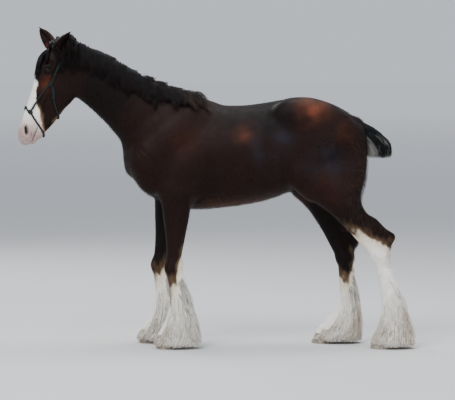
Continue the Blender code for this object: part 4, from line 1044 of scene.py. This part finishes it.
def fanned(routes, outs, each, spread, thick, narrow, waves=0.003):
    """Each route as a clump of strands about it, which draw together towards the tip."""
    count, steps, _ = routes.shape
    across = units(np.cross(outs, units(np.gradient(routes, axis=1))))
    t = np.linspace(0, 1, steps)
    sideways = draw.normal(size=(count, each, 1)) * spread * (1 - narrow * t)
    outwards = draw.normal(size=(count, each, 1)) * thick * np.sqrt(t) * (1 - 0.3 * t)
    sideways = sideways + np.sin(t * 6 + draw.uniform(0, 6.3, (count, each, 1))) * waves * t
    ends = draw.uniform(0.82, 1.0, (count, each, 1)) * t
    index = ends * (steps - 1)
    low = np.clip(index.astype(int), 0, steps - 2)
    part = (index - low)[..., None]
    rows = np.arange(count)[:, None, None]

    def at(values):
        return values[rows, low] * (1 - part) + values[rows, low + 1] * part

    new = at(routes) + at(across) * sideways[..., None] + at(outs) * outwards[..., None]
    return new.reshape(-1, steps, 3), at(outs).reshape(-1, steps, 3)


def make_mane(material, clumps=96, each=48):
    """Strands from the crest, which fall over the near side of the neck."""
    first, last = flat(*MANE_FROM), flat(*MANE_TO)
    share = (np.arange(clumps) + draw.uniform(-0.9, 0.9, clumps) + 0.5) / clumps
    share = np.clip(share, 0, 1)
    layer = draw.uniform(0, 1, clumps)
    roots = first + (last - first) * share[:, None]
    roots = set_off(BODY, roots, -0.006)
    roots = roots + flat(0, 0, 1) * draw.uniform(-0.016, 0.006, (clumps, 1))
    back = 0.10 + 0.9 * share**4 + draw.normal(size=clumps) * 0.16
    headings = np.stack([back, np.full(clumps, -0.9), np.full(clumps, 0.45)], -1)
    long = (0.225 - 0.08 * layer) * draw.uniform(0.82, 1.14, clumps)
    long = long * (1 - 0.25 * share + 0.25 * share**6)
    height = 0.008 + 0.024 * layer
    over = np.outer(height, (0, 0.55, 0.95, 1, 0.8, 0.65, 0.35, 0.2))
    offs = over + np.array((-1, 0, 0, 0, 0, 0, 1, 1)) * 0.006
    routes, outs = drape(roots, headings, long, offs, 0.27)
    routes, outs = fanned(routes, outs, each, 0.0150, 0.0045, 0.60, 0.0045)
    n = len(routes)
    base = BLACK * draw.uniform(0.7, 1.4, (n, 1))
    tips = laid(base, 0.15 * draw.uniform(0, 1, n) ** 2, RUST)
    tuft = rise(routes[:, 0, 0] + 0.20, 0.06)
    tips = laid(tips, 0.25 * tuft * draw.uniform(0, 1, n) ** 2, TAN)
    kept = draw.uniform(0, 1, n) > 0.45 * tuft
    where = unrolled(routes[:, 1], first, last)
    size = draw.uniform(0.0009, 0.0017, n)
    parts = (p[kept] for p in (routes, outs, size, base, tips, where))
    return make_strands("mane", *parts, material)


POLL_CLUMPS = 56
POLL_ARC = (  # the bends of the hair behind the ears, from its root: (least, most)
    ((-0.020, -0.025, 0.045), (0.020, 0.005, 0.070)),
    ((-0.020, -0.110, 0.030), (0.050, -0.055, 0.068)),
    ((-0.010, -0.140, -0.120), (0.075, -0.090, -0.020)),
)


def make_forelock(material, each=46):
    """Strands from the poll, which fall between the ears and over the forehead, and the tuft
    behind the ears, which stands up and falls over the near one's root."""
    places = [place for place in FORELOCK for _ in range(4)]
    count = len(places)
    roots = np.array([on_head(*place) for place, _, _ in places]) + draw.normal(size=(count, 3)) * 0.004
    lean = np.array([lean for _, lean, _ in places]) + draw.normal(size=count) * 0.10
    headings = np.stack([0 * lean + 1.0, 0 * lean + 0.4, lean], -1) @ HEAD_AXES
    long = np.array([length for _, _, length in places]) * draw.uniform(0.75, 1.1, count)
    roots = set_off(BODY, roots, -0.005)
    rises = np.array((0, 0.7, 1.0, 0.9, 0.7, 0.5))
    offs = draw.uniform(0.006, 0.018, (count, 1)) * rises - 0.005 * (rises == 0)
    front, front_outs = drape(roots, headings, long, offs, 0.12)
    # the tuft behind the ears
    one, two = on_head(0.010, 0.098), flat(*MANE_FROM)
    share = draw.uniform(0, 1, (POLL_CLUMPS, 1))
    roots = set_off(BODY, one + (two - one) * share, -0.008)
    bends = [roots, *(roots + draw.uniform(low, high, (POLL_CLUMPS, 3)) for low, high in POLL_ARC)]
    poll = bent(*(spot[:, None] for spot in bends), np.linspace(0, 1, 6)[:, None])
    poll_outs = np.tile(unit((0.0, -0.7, 0.7)), (POLL_CLUMPS, 6, 1))
    routes, outs = np.concatenate([front, poll]), np.concatenate([front_outs, poll_outs])
    routes, outs = fanned(routes, outs, each, 0.0055, 0.0028, 0.55, 0.003)
    n = len(routes)
    base = BLACK * draw.uniform(0.7, 1.4, (n, 1))
    tips = laid(base, 0.2 * draw.uniform(0, 1, n) ** 2, RUST)
    where = unrolled(routes[:, 1], on_head(0, 0.1), on_head(0.2, 0.1))
    size = draw.uniform(0.0008, 0.0015, n)
    return make_strands("forelock", routes, outs, size, base, tips, where, material)


def make_tail(material, count=3500, steps=8):
    """Strands from the dock, which arch outwards and fall to a blunt end."""
    start, end = flat(*DOCK_FROM), flat(*DOCK_TO)
    along, under, side, _ = frame_along(start, end, SIDEWAYS)
    groups = 140
    clump = draw.integers(0, groups, count)
    share = np.clip(draw.beta(2.0, 1.5, groups) * 0.95 + 0.06, 0.06, 0.97)[clump, None]
    share = np.clip(share + draw.normal(size=(count, 1)) * 0.03, 0.05, 0.99)
    around = (draw.uniform(0, 2 * math.pi, groups)[clump] + draw.normal(size=count) * 0.16)[:, None]
    radius = DOCK_RADII[0] * (1 - share) + DOCK_RADII[1] * share
    out = side * np.sin(around) - under * np.cos(around)
    first = start + (end - start) * share + out * radius * 0.75
    low = np.concatenate([np.cos(around), np.sin(around), 0 * around], 1)
    reach = np.sqrt(draw.uniform(0.08, 1.0, groups))[clump, None] * draw.uniform(0.9, 1.06, (count, 1))
    wide = np.where(low[:, :1] < 0, TAIL_SPREAD[0] * 1.20, TAIL_SPREAD[0])
    last = flat(*TAIL_END) + low * np.concatenate([wide, 0 * wide + TAIL_SPREAD[1], 0 * wide], 1) * reach
    last = last + flat(0, 1) * draw.uniform(-0.004, 0.030, (count, 1))
    one = first + along * 0.05 + out * 0.042
    two = last + flat(0, 0.06) + low * 0.012
    t = np.linspace(0, 1, steps)[:, None, None]
    routes = bent(first, one, two, last, t).transpose(1, 0, 2)
    wave = np.sin(t[:, 0, 0] * 6 + draw.uniform(0, 6.3, (count, 1))) * 0.004 * t[:, 0, 0]
    routes[..., 1] += wave
    routes[..., 0] += wave[::-1] * 0.6
    n = count
    base = BLACK * draw.uniform(0.7, 1.6, (n, 1))
    front = rise(-low[:, 0] - 0.25, 0.4) * draw.uniform(0, 1, n) ** 0.3
    grey = (draw.uniform(0, 1, groups)[clump] > 0.86) * draw.uniform(0.2, 1.0, n) * 0.4
    silver = np.clip(np.maximum(front, grey), 0, 1)
    middle = laid(base, silver * 0.45, GREY)
    tips = laid(base, silver, GREY * 2.2)
    where = unrolled(routes[:, 1], start, end)
    size = draw.uniform(0.0011, 0.0022, n)
    return make_strands("tail_hair", routes, out, size, middle, tips, where, material)


def make_small_hairs(material):
    """The lashes over each eye and the hairs in each ear."""
    roots, ways, outs = [], [], []
    for side in (NEAR, FAR):
        for t in draw.uniform(0, 1, 60):
            lid = 0.0885 - 0.008 * t - 0.010 * abs(2 * t - 1)
            roots.append(on_head(0.120 + 0.046 * t, lid, 0.0915 * side))
            ways.append(0.009 * unit((t - 0.3, 0.25, side) @ HEAD_AXES))
            outs.append(HEAD_AXES[1])
        root, points_to, face, lateral = ear_axes(side)
        for t in draw.uniform(0.14, 0.86, 420):
            edge = draw.choice((-1, 1)) * draw.uniform(0.55, 0.95)
            half = np.interp(t, [row[0] for row in EAR], [row[3] for row in EAR])
            roots.append(root + points_to * EAR_LENGTH * t + lateral * edge * half + face * 0.004)
            way = points_to * 0.7 - lateral * edge * draw.uniform(0.2, 0.9) + face * draw.uniform(0.1, 0.5)
            ways.append(unit(way) * draw.uniform(0.012, 0.024))
            outs.append(face)
    roots, ways, outs = (np.array(v) for v in (roots, ways, outs))
    t = np.linspace(0, 1, 4)[:, None]
    routes = roots[:, None] + ways[:, None] * t - outs[:, None] * 0.003 * t**2
    n = len(roots)
    colours = laid(np.tile(BLACK, (n, 1)), draw.uniform(0, 0.30, n), RUST)
    where = unrolled(roots, on_head(0, 0.1), on_head(0.2, 0.1))
    size = np.full(n, 0.0005)
    return make_strands("small_hairs", routes, outs, size, colours, colours, where, material)


def lie_at(points):
    """Which way the coat lies: back along the body, down the neck, the legs and the face."""
    x, _, z = points.T
    way = np.tile((0.75, 0.0, -0.65), (len(points), 1))
    neck = rise(-0.30 - x, 0.3)[:, None]
    way = way * (1 - neck) + np.array((0.25, 0.0, -0.95)) * neck
    leg = rise(0.80 - z, 0.15)[:, None]
    way = way * (1 - leg) + np.array((0.0, 0.0, -1.0)) * leg
    down = ((points - POLL) @ HEAD_AXES.T)[:, 0]
    head = (rise(down - 0.0, 0.06) * (x < -0.72))[:, None]
    return way * (1 - head) + HEAD_AXES[0] * head


def on_skin(skin, count, weigh):
    """Points strewn over the skin, denser where they weigh more, with its normals there."""
    mesh = skin.data
    spots = spots_of(mesh)
    corners = np.empty(len(mesh.polygons) * 3, np.int32)
    mesh.polygons.foreach_get("vertices", corners)
    one, two, three = (spots[corners[k::3]] for k in range(3))
    normals = np.cross(two - one, three - one)
    area = np.maximum(np.linalg.norm(normals, axis=1), 1e-12)
    weight = area * weigh((one + two + three) / 3, normals / area[:, None])
    chosen = draw.choice(len(area), count, p=weight / weight.sum())
    a, b = draw.uniform(0, 1, (2, count, 1))
    over = a + b > 1
    a, b = np.where(over, 1 - a, a), np.where(over, 1 - b, b)
    one, two, three = one[chosen], two[chosen], three[chosen]
    return one + a * (two - one) + b * (three - one), normals[chosen] / area[chosen, None]


def coat_places(points, outs):
    """Where the coat is: on the face, under the body, behind it, on the jaw, on the legs, and
    the tuft behind the hock; and whether short hair grows there at all."""
    x, _, z = points.T
    down, out, _ = ((points - POLL) @ HEAD_AXES.T).T
    face = (down > 0.0) & (x < -0.72)
    legs_on = z < 0.62
    under = rise(-outs[:, 2], 0.8) * ~face * ~legs_on
    rear = rise(x - 0.66, 0.06) * rise(outs[:, 0], 0.8) * ~legs_on
    jaw = face & (out < -0.03) & (down < 0.42)
    hock = (x > 0.5) & (z > 0.40) & (z < 0.56) & (outs[:, 0] > 0.45)
    eye = np.minimum(*(np.linalg.norm(points - eye_middle(s), axis=1) for s in (NEAR, FAR)))
    grows = (eye > 0.027) & ~(face & (down > 0.462)) & (z > 0.075)
    return face, under, rear, jaw, legs_on, hock, grows


def coat_weight(points, outs):
    face, under, rear, jaw, legs_on, hock, grows = coat_places(points, outs)
    weight = 0.75 + 1.1 * under + 1.3 * rear + 1.9 * face + 1.2 * jaw + 1.6 * legs_on + 3.0 * hock
    return weight * grows


def make_coat(skin, material, count=43000):
    """Short tufts over the whole skin, lying along it and longer where the coat breaks the form."""
    roots, outs = on_skin(skin, count, coat_weight)
    x, y, z = roots.T
    face, under, rear, jaw, legs_on, hock, _ = coat_places(roots, outs)
    length = 0.012 + 0.011 * under + 0.012 * rear
    length[face] = 0.0065
    length[jaw] = 0.013
    length[legs_on] = 0.012
    length[hock] = 0.030
    lie = units(laid_flat(lie_at(roots) + draw.normal(size=(count, 3)) * 0.14, outs))
    length = (length * draw.uniform(0.7, 1.25, count))[:, None]
    lift = 0.03 + 0.20 * (under + rear) + 0.12 * (jaw | hock) + draw.uniform(0, 0.05, count)
    lift = lift[:, None]
    first = roots - outs * 0.0012
    middle = roots + lie * length * 0.5 + outs * length * lift * 0.75
    last = roots + lie * length + outs * length * lift * 0.85
    routes = np.stack([first, middle, last], 1)
    base = markings(roots)
    # painted light: dark tufts are lightened to offset the shade that they cast on the skin and on one
    # another
    shade_offset = 1 + 0.40 * rise(0.15 - base.mean(1, keepdims=True), 0.2)
    base = base * shade_offset * draw.uniform(0.9, 1.15, (count, 1))
    tips = base * 1.10
    gold = under * rise(0.82 - z, 0.12) * (x > -0.15) * (x < 0.50) * 0.6
    gold = gold + 0.45 * rear * rise(1.08 - z, 0.2) + 0.12 * jaw
    tips = laid(tips, np.clip(gold, 0, 1) * draw.uniform(0, 1, count), TAN)
    size = np.where(face, 0.0004, 0.00055) * draw.uniform(0.8, 1.2, count)
    trunk, neck = (x > -0.20) & ~legs_on, (x <= -0.20) & ~legs_on & ~face
    near = y < 0
    for name, here, ends in (
        ("coat_trunk_left", trunk & near, ((-0.2, 0, 1.0), (0.9, 0, 1.0))),
        ("coat_trunk_right", trunk & ~near, ((-0.2, 0, 1.0), (0.9, 0, 1.0))),
        ("coat_neck", neck, ((-0.2, 0, 1.1), (-0.9, 0, 1.6))),
        ("coat_head", face, (POLL, tuple(on_head(0.5, 0)))),
        ("coat_legs_left", legs_on & near, ((-0.3, -0.12, 0.7), (0.9, -0.12, 0.7))),
        ("coat_legs_right", legs_on & ~near, ((-0.3, 0.12, 0.7), (0.9, 0.12, 0.7))),
    ):
        where = unrolled(roots[here], *np.array(ends, float))
        make_strands(name, routes[here], outs[here], size[here], base[here], tips[here], where, material)


def turned_faces(rows, around, first=0):
    """The faces of a closed turned form: one point, the rows of points around it, one point."""
    faces = []
    last = first + 1 + rows * around
    for k in range(around):
        m = (k + 1) % around
        for a in range(first + 1, last - around, around):
            faces += [(a + k, a + m, a + m + around), (a + k, a + m + around, a + k + around)]
        faces += [(first, first + 1 + m, first + 1 + k), (last, last - around + k, last - around + m)]
    return faces


def make_eye(side, material, rows=38, around=64):
    """A smooth eyeball, brown round its level pupil."""
    tilt = np.linspace(0, math.pi, rows + 2)[1:-1, None]
    turn = np.linspace(0, 2 * math.pi, around, endpoint=False)[None]
    ways = [np.sin(tilt) * np.cos(turn), np.sin(tilt) * np.sin(turn), np.cos(tilt) + 0 * turn]
    ways = np.concatenate([[[0, 0, 1.0]], np.stack(ways, -1).reshape(-1, 3), [[0, 0, -1.0]]])
    bulge = 1 + 0.04 * rise(ways[:, 2] - 0.80, 0.3)
    axes = HEAD_AXES * ((1,), (1,), (side,))
    points = eye_middle(side) + (EYE_RADIUS - 0.0005) * (ways * bulge[:, None]) @ axes
    faces = np.array(turned_faces(rows, around))
    obj = new_mesh(f"eyeball_{SIDE_NAMES[side]}", points, faces if side == NEAR else faces[:, ::-1])
    off = np.hypot(ways[:, 0], ways[:, 1]) + (ways[:, 2] < 0)
    pupil = rise(1 - np.hypot(ways[:, 0] / 0.30, ways[:, 1] / 0.17), 0.25)
    colour = laid(np.tile(IRIS, (len(points), 1)), pupil, np.full(3, 0.001))
    set_colours(obj, laid(colour, rise(off - 0.60, 0.12), EYE_RIM))
    obj.data.materials.append(material)
    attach(obj, "root")
    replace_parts(obj, f"eye_{SIDE_NAMES[side]}")


def axes_along(route):
    """Two axes across a line at each of its points, carried along it without a twist."""
    ways = units(np.gradient(route, axis=0))
    across = np.cross(ways[0], ASLANT)
    for way in ways:
        across = unit(across - way * (across @ way))
        yield across, np.cross(way, across)


def round_about(route, radius, turn):
    """The points at this distance from a line and this turn about it."""
    across, other = np.array(list(axes_along(route))).transpose(1, 0, 2)
    return route + radius * (across * np.cos(turn) + other * np.sin(turn))


def make_tubes(name, tubes, material, sides=8):
    """One mesh of closed round tubes, each (points, radius)."""
    points, faces = [], []
    for route, radius in tubes:
        faces += turned_faces(len(route), sides, len(points))
        turns = np.linspace(0, 2 * math.pi, sides, endpoint=False)
        rings = np.stack([round_about(route, radius, turn) for turn in turns], 1)
        points += [route[0], *rings.reshape(-1, 3), route[-1]]
    obj = new_mesh(name, np.array(points), faces)
    obj.data.materials.append(material)
    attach(obj, "root")
    return obj


def twisted(route):
    """The plies of a rope that runs along this route."""
    for ply in range(PLIES):
        turn = 2 * math.pi * (run_of(route) / ROPE_LAY + ply / PLIES)
        yield round_about(route, ROPE_RADIUS * 0.50, turn[:, None]), ROPE_RADIUS * 0.52


def knot_of(spot, way):
    """Three turns of the rope wound round a knot."""
    way = unit(way)
    across = unit(np.cross(way, ASLANT))
    turn = np.linspace(0, 2 * math.pi, 19)[:, None]
    ring = (across * np.cos(turn) + np.cross(way, across) * np.sin(turn)) * 0.55
    for k, share in ((-1, 0.82), (0, 1.0), (1, 0.82)):
        wound = way * (k * 0.62 + (turn - math.pi) * 0.06) + ring * share
        yield spot + KNOT_RADIUS * wound, KNOT_RADIUS * 0.44


def rope_route(places, side, mirrored, tree):
    """A strand's way over the skin."""
    spots = [on_head(down, out, across * side) for down, out, across in places]
    if mirrored:
        spots += [on_head(down, out, -across * side) for down, out, across in places[-2::-1]]
    route = evenly(set_off(BODY, np.array(spots), ROPE_RADIUS), 0.008, 1)
    for _ in range(3):
        near, outs = lying_by(route, tree)
        route = near + outs * (ROPE_RADIUS * 0.92)
        route[1:-1] = route[1:-1] * 0.5 + (route[:-2] + route[2:]) * 0.25
    return evenly(route, 0.0022)


def lying_by(route, tree):
    """The nearest places on the skin and its directions outwards there."""
    found = (tree.find_nearest(Vector(point)) for point in route)
    return np.array([(near, out) for near, out, _, _ in found]).transpose(1, 0, 2)


def beside(route, tree):
    """The plies of a second rope, laid along the first."""
    across = units(np.cross(np.gradient(route, axis=0), lying_by(route, tree)[1]))
    return twisted(route + across * ROPE_RADIUS * 1.5)


def make_halter(skin, material):
    """The rope halter: twisted strands, wound knots, and the rope's end laid along the throat."""
    tree = BVHTree.FromObject(skin, bpy.context.evaluated_depsgraph_get())
    for name, places, side, mirrored, doubled, tied in (
        ("nose", NOSE_STRAND, NEAR, True, None, True),
        ("throat", THROAT_STRAND, NEAR, True, slice(3, 40), False),
        ("chin", CHIN_STRAND, NEAR, True, None, False),
        ("cheek_left", CHEEK_STRAND, NEAR, False, None, False),
        ("cheek_right", CHEEK_STRAND, FAR, False, None, False),
        ("crown", CROWN_STRAND, NEAR, True, slice(6, -6), True),
    ):
        route = rope_route(places, side, mirrored, tree)
        tubes = list(twisted(route))
        if doubled:
            tubes += beside(route[doubled], tree)
        if tied:
            tubes += [*knot_of(route[0], route[3] - route[0]), *knot_of(route[-1], route[-4] - route[-1])]
        obj = make_tubes(f"rope_{name}", tubes, material)
        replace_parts(obj, f"halter_{name}")


def node(tree, kind, inputs=(), **values):
    """A new node with these settings, and these values or links into its sockets."""
    made = tree.nodes.new(kind)
    for key, value in values.items():
        setattr(made, key, value)
    feed(tree, made, inputs)
    return made


def feed(tree, made, inputs):
    for key, value in dict(inputs).items():
        if isinstance(value, bpy.types.NodeSocket):
            tree.links.new(value, made.inputs[key])
        else:
            made.inputs[key].default_value = value


def noise(tree, scale, detail=3.0, mapped=None, **how):
    """A noise over the object's own coordinates, or over these as they are mapped."""
    where = node(tree, "ShaderNodeTexCoord").outputs["Object"]
    if mapped:
        where = node(tree, "ShaderNodeMapping", {"Vector": where, **mapped}, **how).outputs["Vector"]
    inputs = {"Scale": scale, "Detail": detail, "Vector": where}
    return node(tree, "ShaderNodeTexNoise", inputs).outputs["Fac"]


def ramp(tree, value, low, high, start=0.3, end=0.7):
    """A grey or a colour from low to high as the value goes from start to end."""
    made = node(tree, "ShaderNodeValToRGB", {"Fac": value})
    for element, place, shade in zip(made.color_ramp.elements, (start, end), (low, high)):
        element.position = place
        element.color = (*np.broadcast_to(shade, 3), 1.0)
    return made.outputs["Color"]


def painted(tree, scale, low, high):
    """The colours of the mesh, made uneven by a noise."""
    colours = node(tree, "ShaderNodeAttribute", attribute_name="Coat").outputs["Color"]
    inputs = {"Factor": 1.0, "A": colours, "B": ramp(tree, noise(tree, scale), low, high)}
    mix = node(tree, "ShaderNodeMix", data_type="RGBA", blend_type="MULTIPLY")
    feed(tree, mix, inputs)
    return mix.outputs["Result"]


def make_material(name, look):
    """A material whose look says, for its tree: colour, roughness, specular level, and the
    height, strength and distance of its bump."""
    material = bpy.data.materials.new(name)
    material.use_nodes = True
    tree = material.node_tree
    colour, rough, specular, *relief = look(tree)
    inputs = {"Base Color": colour, "Roughness": rough, "Specular IOR Level": specular}
    if relief:
        bump = node(tree, "ShaderNodeBump", dict(zip(("Height", "Strength", "Distance"), relief)))
        inputs["Normal"] = bump.outputs["Normal"]
    feed(tree, tree.nodes["Principled BSDF"], inputs)
    return material


def skin_look(tree):
    """Its bump is fine streaks that run back and down, as the hair lies."""
    slant = {"Rotation": (0.0, math.radians(45), 0.0), "Scale": (12.0, 1.0, 1.0)}
    streaks = noise(tree, 900.0, 2.0, slant, vector_type="TEXTURE")
    rough = ramp(tree, noise(tree, 25.0), 0.50, 0.62)
    return painted(tree, 60.0, 0.88, 1.08), rough, 0.09, streaks, 0.35, 0.0010


def hair_look(roughness, specular):
    def look(tree):
        rough = ramp(tree, noise(tree, 40.0), roughness - 0.06, roughness + 0.08)
        return painted(tree, 90.0, 0.88, 1.08), rough, specular, noise(tree, 900.0, 1.0), 0.2, 0.0005

    return look


def horn_look(tree):
    streaks = noise(tree, 60.0, 4.0, {"Scale": (1.0, 1.0, 0.08)})
    colour = ramp(tree, streaks, (0.16, 0.13, 0.10), (0.42, 0.37, 0.30))
    return colour, ramp(tree, streaks, 0.35, 0.60), 0.5, streaks, 0.4, 0.001


def eye_look(tree):
    rough = ramp(tree, noise(tree, 30.0), 0.16, 0.22)
    return painted(tree, 300.0, 0.85, 1.1), rough, 0.16, noise(tree, 120.0, 1.0), 0.03, 0.0002


def rope_look(tree):
    colour = ramp(tree, noise(tree, 260.0), (0.003, 0.0075, 0.007), (0.007, 0.015, 0.014))
    rough = ramp(tree, noise(tree, 90.0), 0.60, 0.85)
    return colour, rough, 0.3, noise(tree, 1500.0, 2.0), 0.4, 0.0004


def floor_look(tree):
    """Pale, and paler with the distance, so that no line shows where it ends."""
    where = node(tree, "ShaderNodeTexCoord").outputs["Object"]
    far = node(tree, "ShaderNodeVectorMath", {0: where}, operation="LENGTH").outputs["Value"]
    share = node(tree, "ShaderNodeMapRange", {"Value": far, "From Min": 2.0, "From Max": 60.0})
    return ramp(tree, share.outputs["Result"], 0.60, 0.97, 0.0, 1.0), 0.9, 0.0


CAMERA_AT = (0.057, -12.5, 1.5)
CAMERA_DOWN = math.atan(135 / 2344)  # the photo's horizon above its middle, in pixels, by its lens
CAMERA_LENS = 185.5


def make_studio():
    """The floor, the lights and the camera."""
    bpy.ops.mesh.primitive_plane_add(size=1200)
    floor = bpy.context.object
    floor.name = "floor"
    floor.data.materials.append(make_material("floor", floor_look))
    for name, place, aim, power, size in (
        ("key", (-2.5, -4.5, 6.0), (0, 0, 0.9), 420, 3.0),
        ("top", (0.8, 0.8, 5.5), (0.1, 0, 1.0), 200, 3.0),
        ("fill", (4.5, -5.0, 2.5), (0.2, 0, 0.8), 130, 4.0),
        ("back", (-3.0, 5.0, 4.0), (0, 0, 1.0), 150, 3.0),
    ):
        lamp = bpy.data.lights.new(name, "AREA")
        lamp.energy = power
        lamp.size = size
        light = linked(name, lamp)
        light.location = place
        light.rotation_euler = (Vector(aim) - Vector(place)).to_track_quat("-Z", "Y").to_euler()
    world = bpy.data.worlds.new("world")
    bpy.context.scene.world = world
    world.use_nodes = True
    sky = world.node_tree.nodes["Background"].inputs
    sky["Color"].default_value = (0.86, 0.91, 1.0, 1.0)
    sky["Strength"].default_value = 0.75
    data = bpy.data.cameras.new("camera")
    data.lens = CAMERA_LENS
    data.clip_end = 200
    camera = linked("camera", data)
    camera.location = CAMERA_AT
    camera.rotation_euler = (math.pi / 2 - CAMERA_DOWN, 0, 0)
    bpy.context.scene.camera = camera


FLESH_NODES = ("torso", "neck", "head")
PAIRED_NODES = ("ear", "forearm", "gaskin", "hock", "cannon_front", "cannon_hind")


def main():
    make_studio()
    forms = [*BODY, *(f for side in (NEAR, FAR) for f in ear_forms(side)), *on_face(FOLDS)]
    forms.append((egg(flat(0.790, 1.165), flat(0.880, 1.035), 0.032, 0.034), 0.012))  # in the tail
    forms += [feather_core(*bell(*leg)) for _, *leg in legs()]
    skin = make_skin(forms)
    set_colours(skin, markings(spots_of(skin.data)))
    skin.data.materials.append(make_material("skin", skin_look))
    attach(skin, "root")
    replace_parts(skin, *FLESH_NODES, *(f"{n}_{s}" for n in PAIRED_NODES for s in SIDE_NAMES.values()))
    long_hair = make_material("long_hair", hair_look(0.44, 0.14))
    pale_hair = make_material("pale_hair", hair_look(0.60, 0.25))
    short_hair = make_material("short_hair", hair_look(0.52, 0.12))
    for leg in legs():
        make_feather(pale_hair, *leg)
    make_mane(long_hair)
    make_forelock(long_hair)
    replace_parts(make_tail(long_hair), "tail")
    make_small_hairs(short_hair)
    make_coat(skin, short_hair)
    make_halter(skin, make_material("rope", rope_look))
    wet = make_material("eye", eye_look)
    for side in (NEAR, FAR):
        make_eye(side, wet)
    horn = make_material("horn", horn_look)
    for name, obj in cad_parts.items():
        if name.startswith("hoof"):
            obj.data.materials.clear()
            obj.data.materials.append(horn)


main()
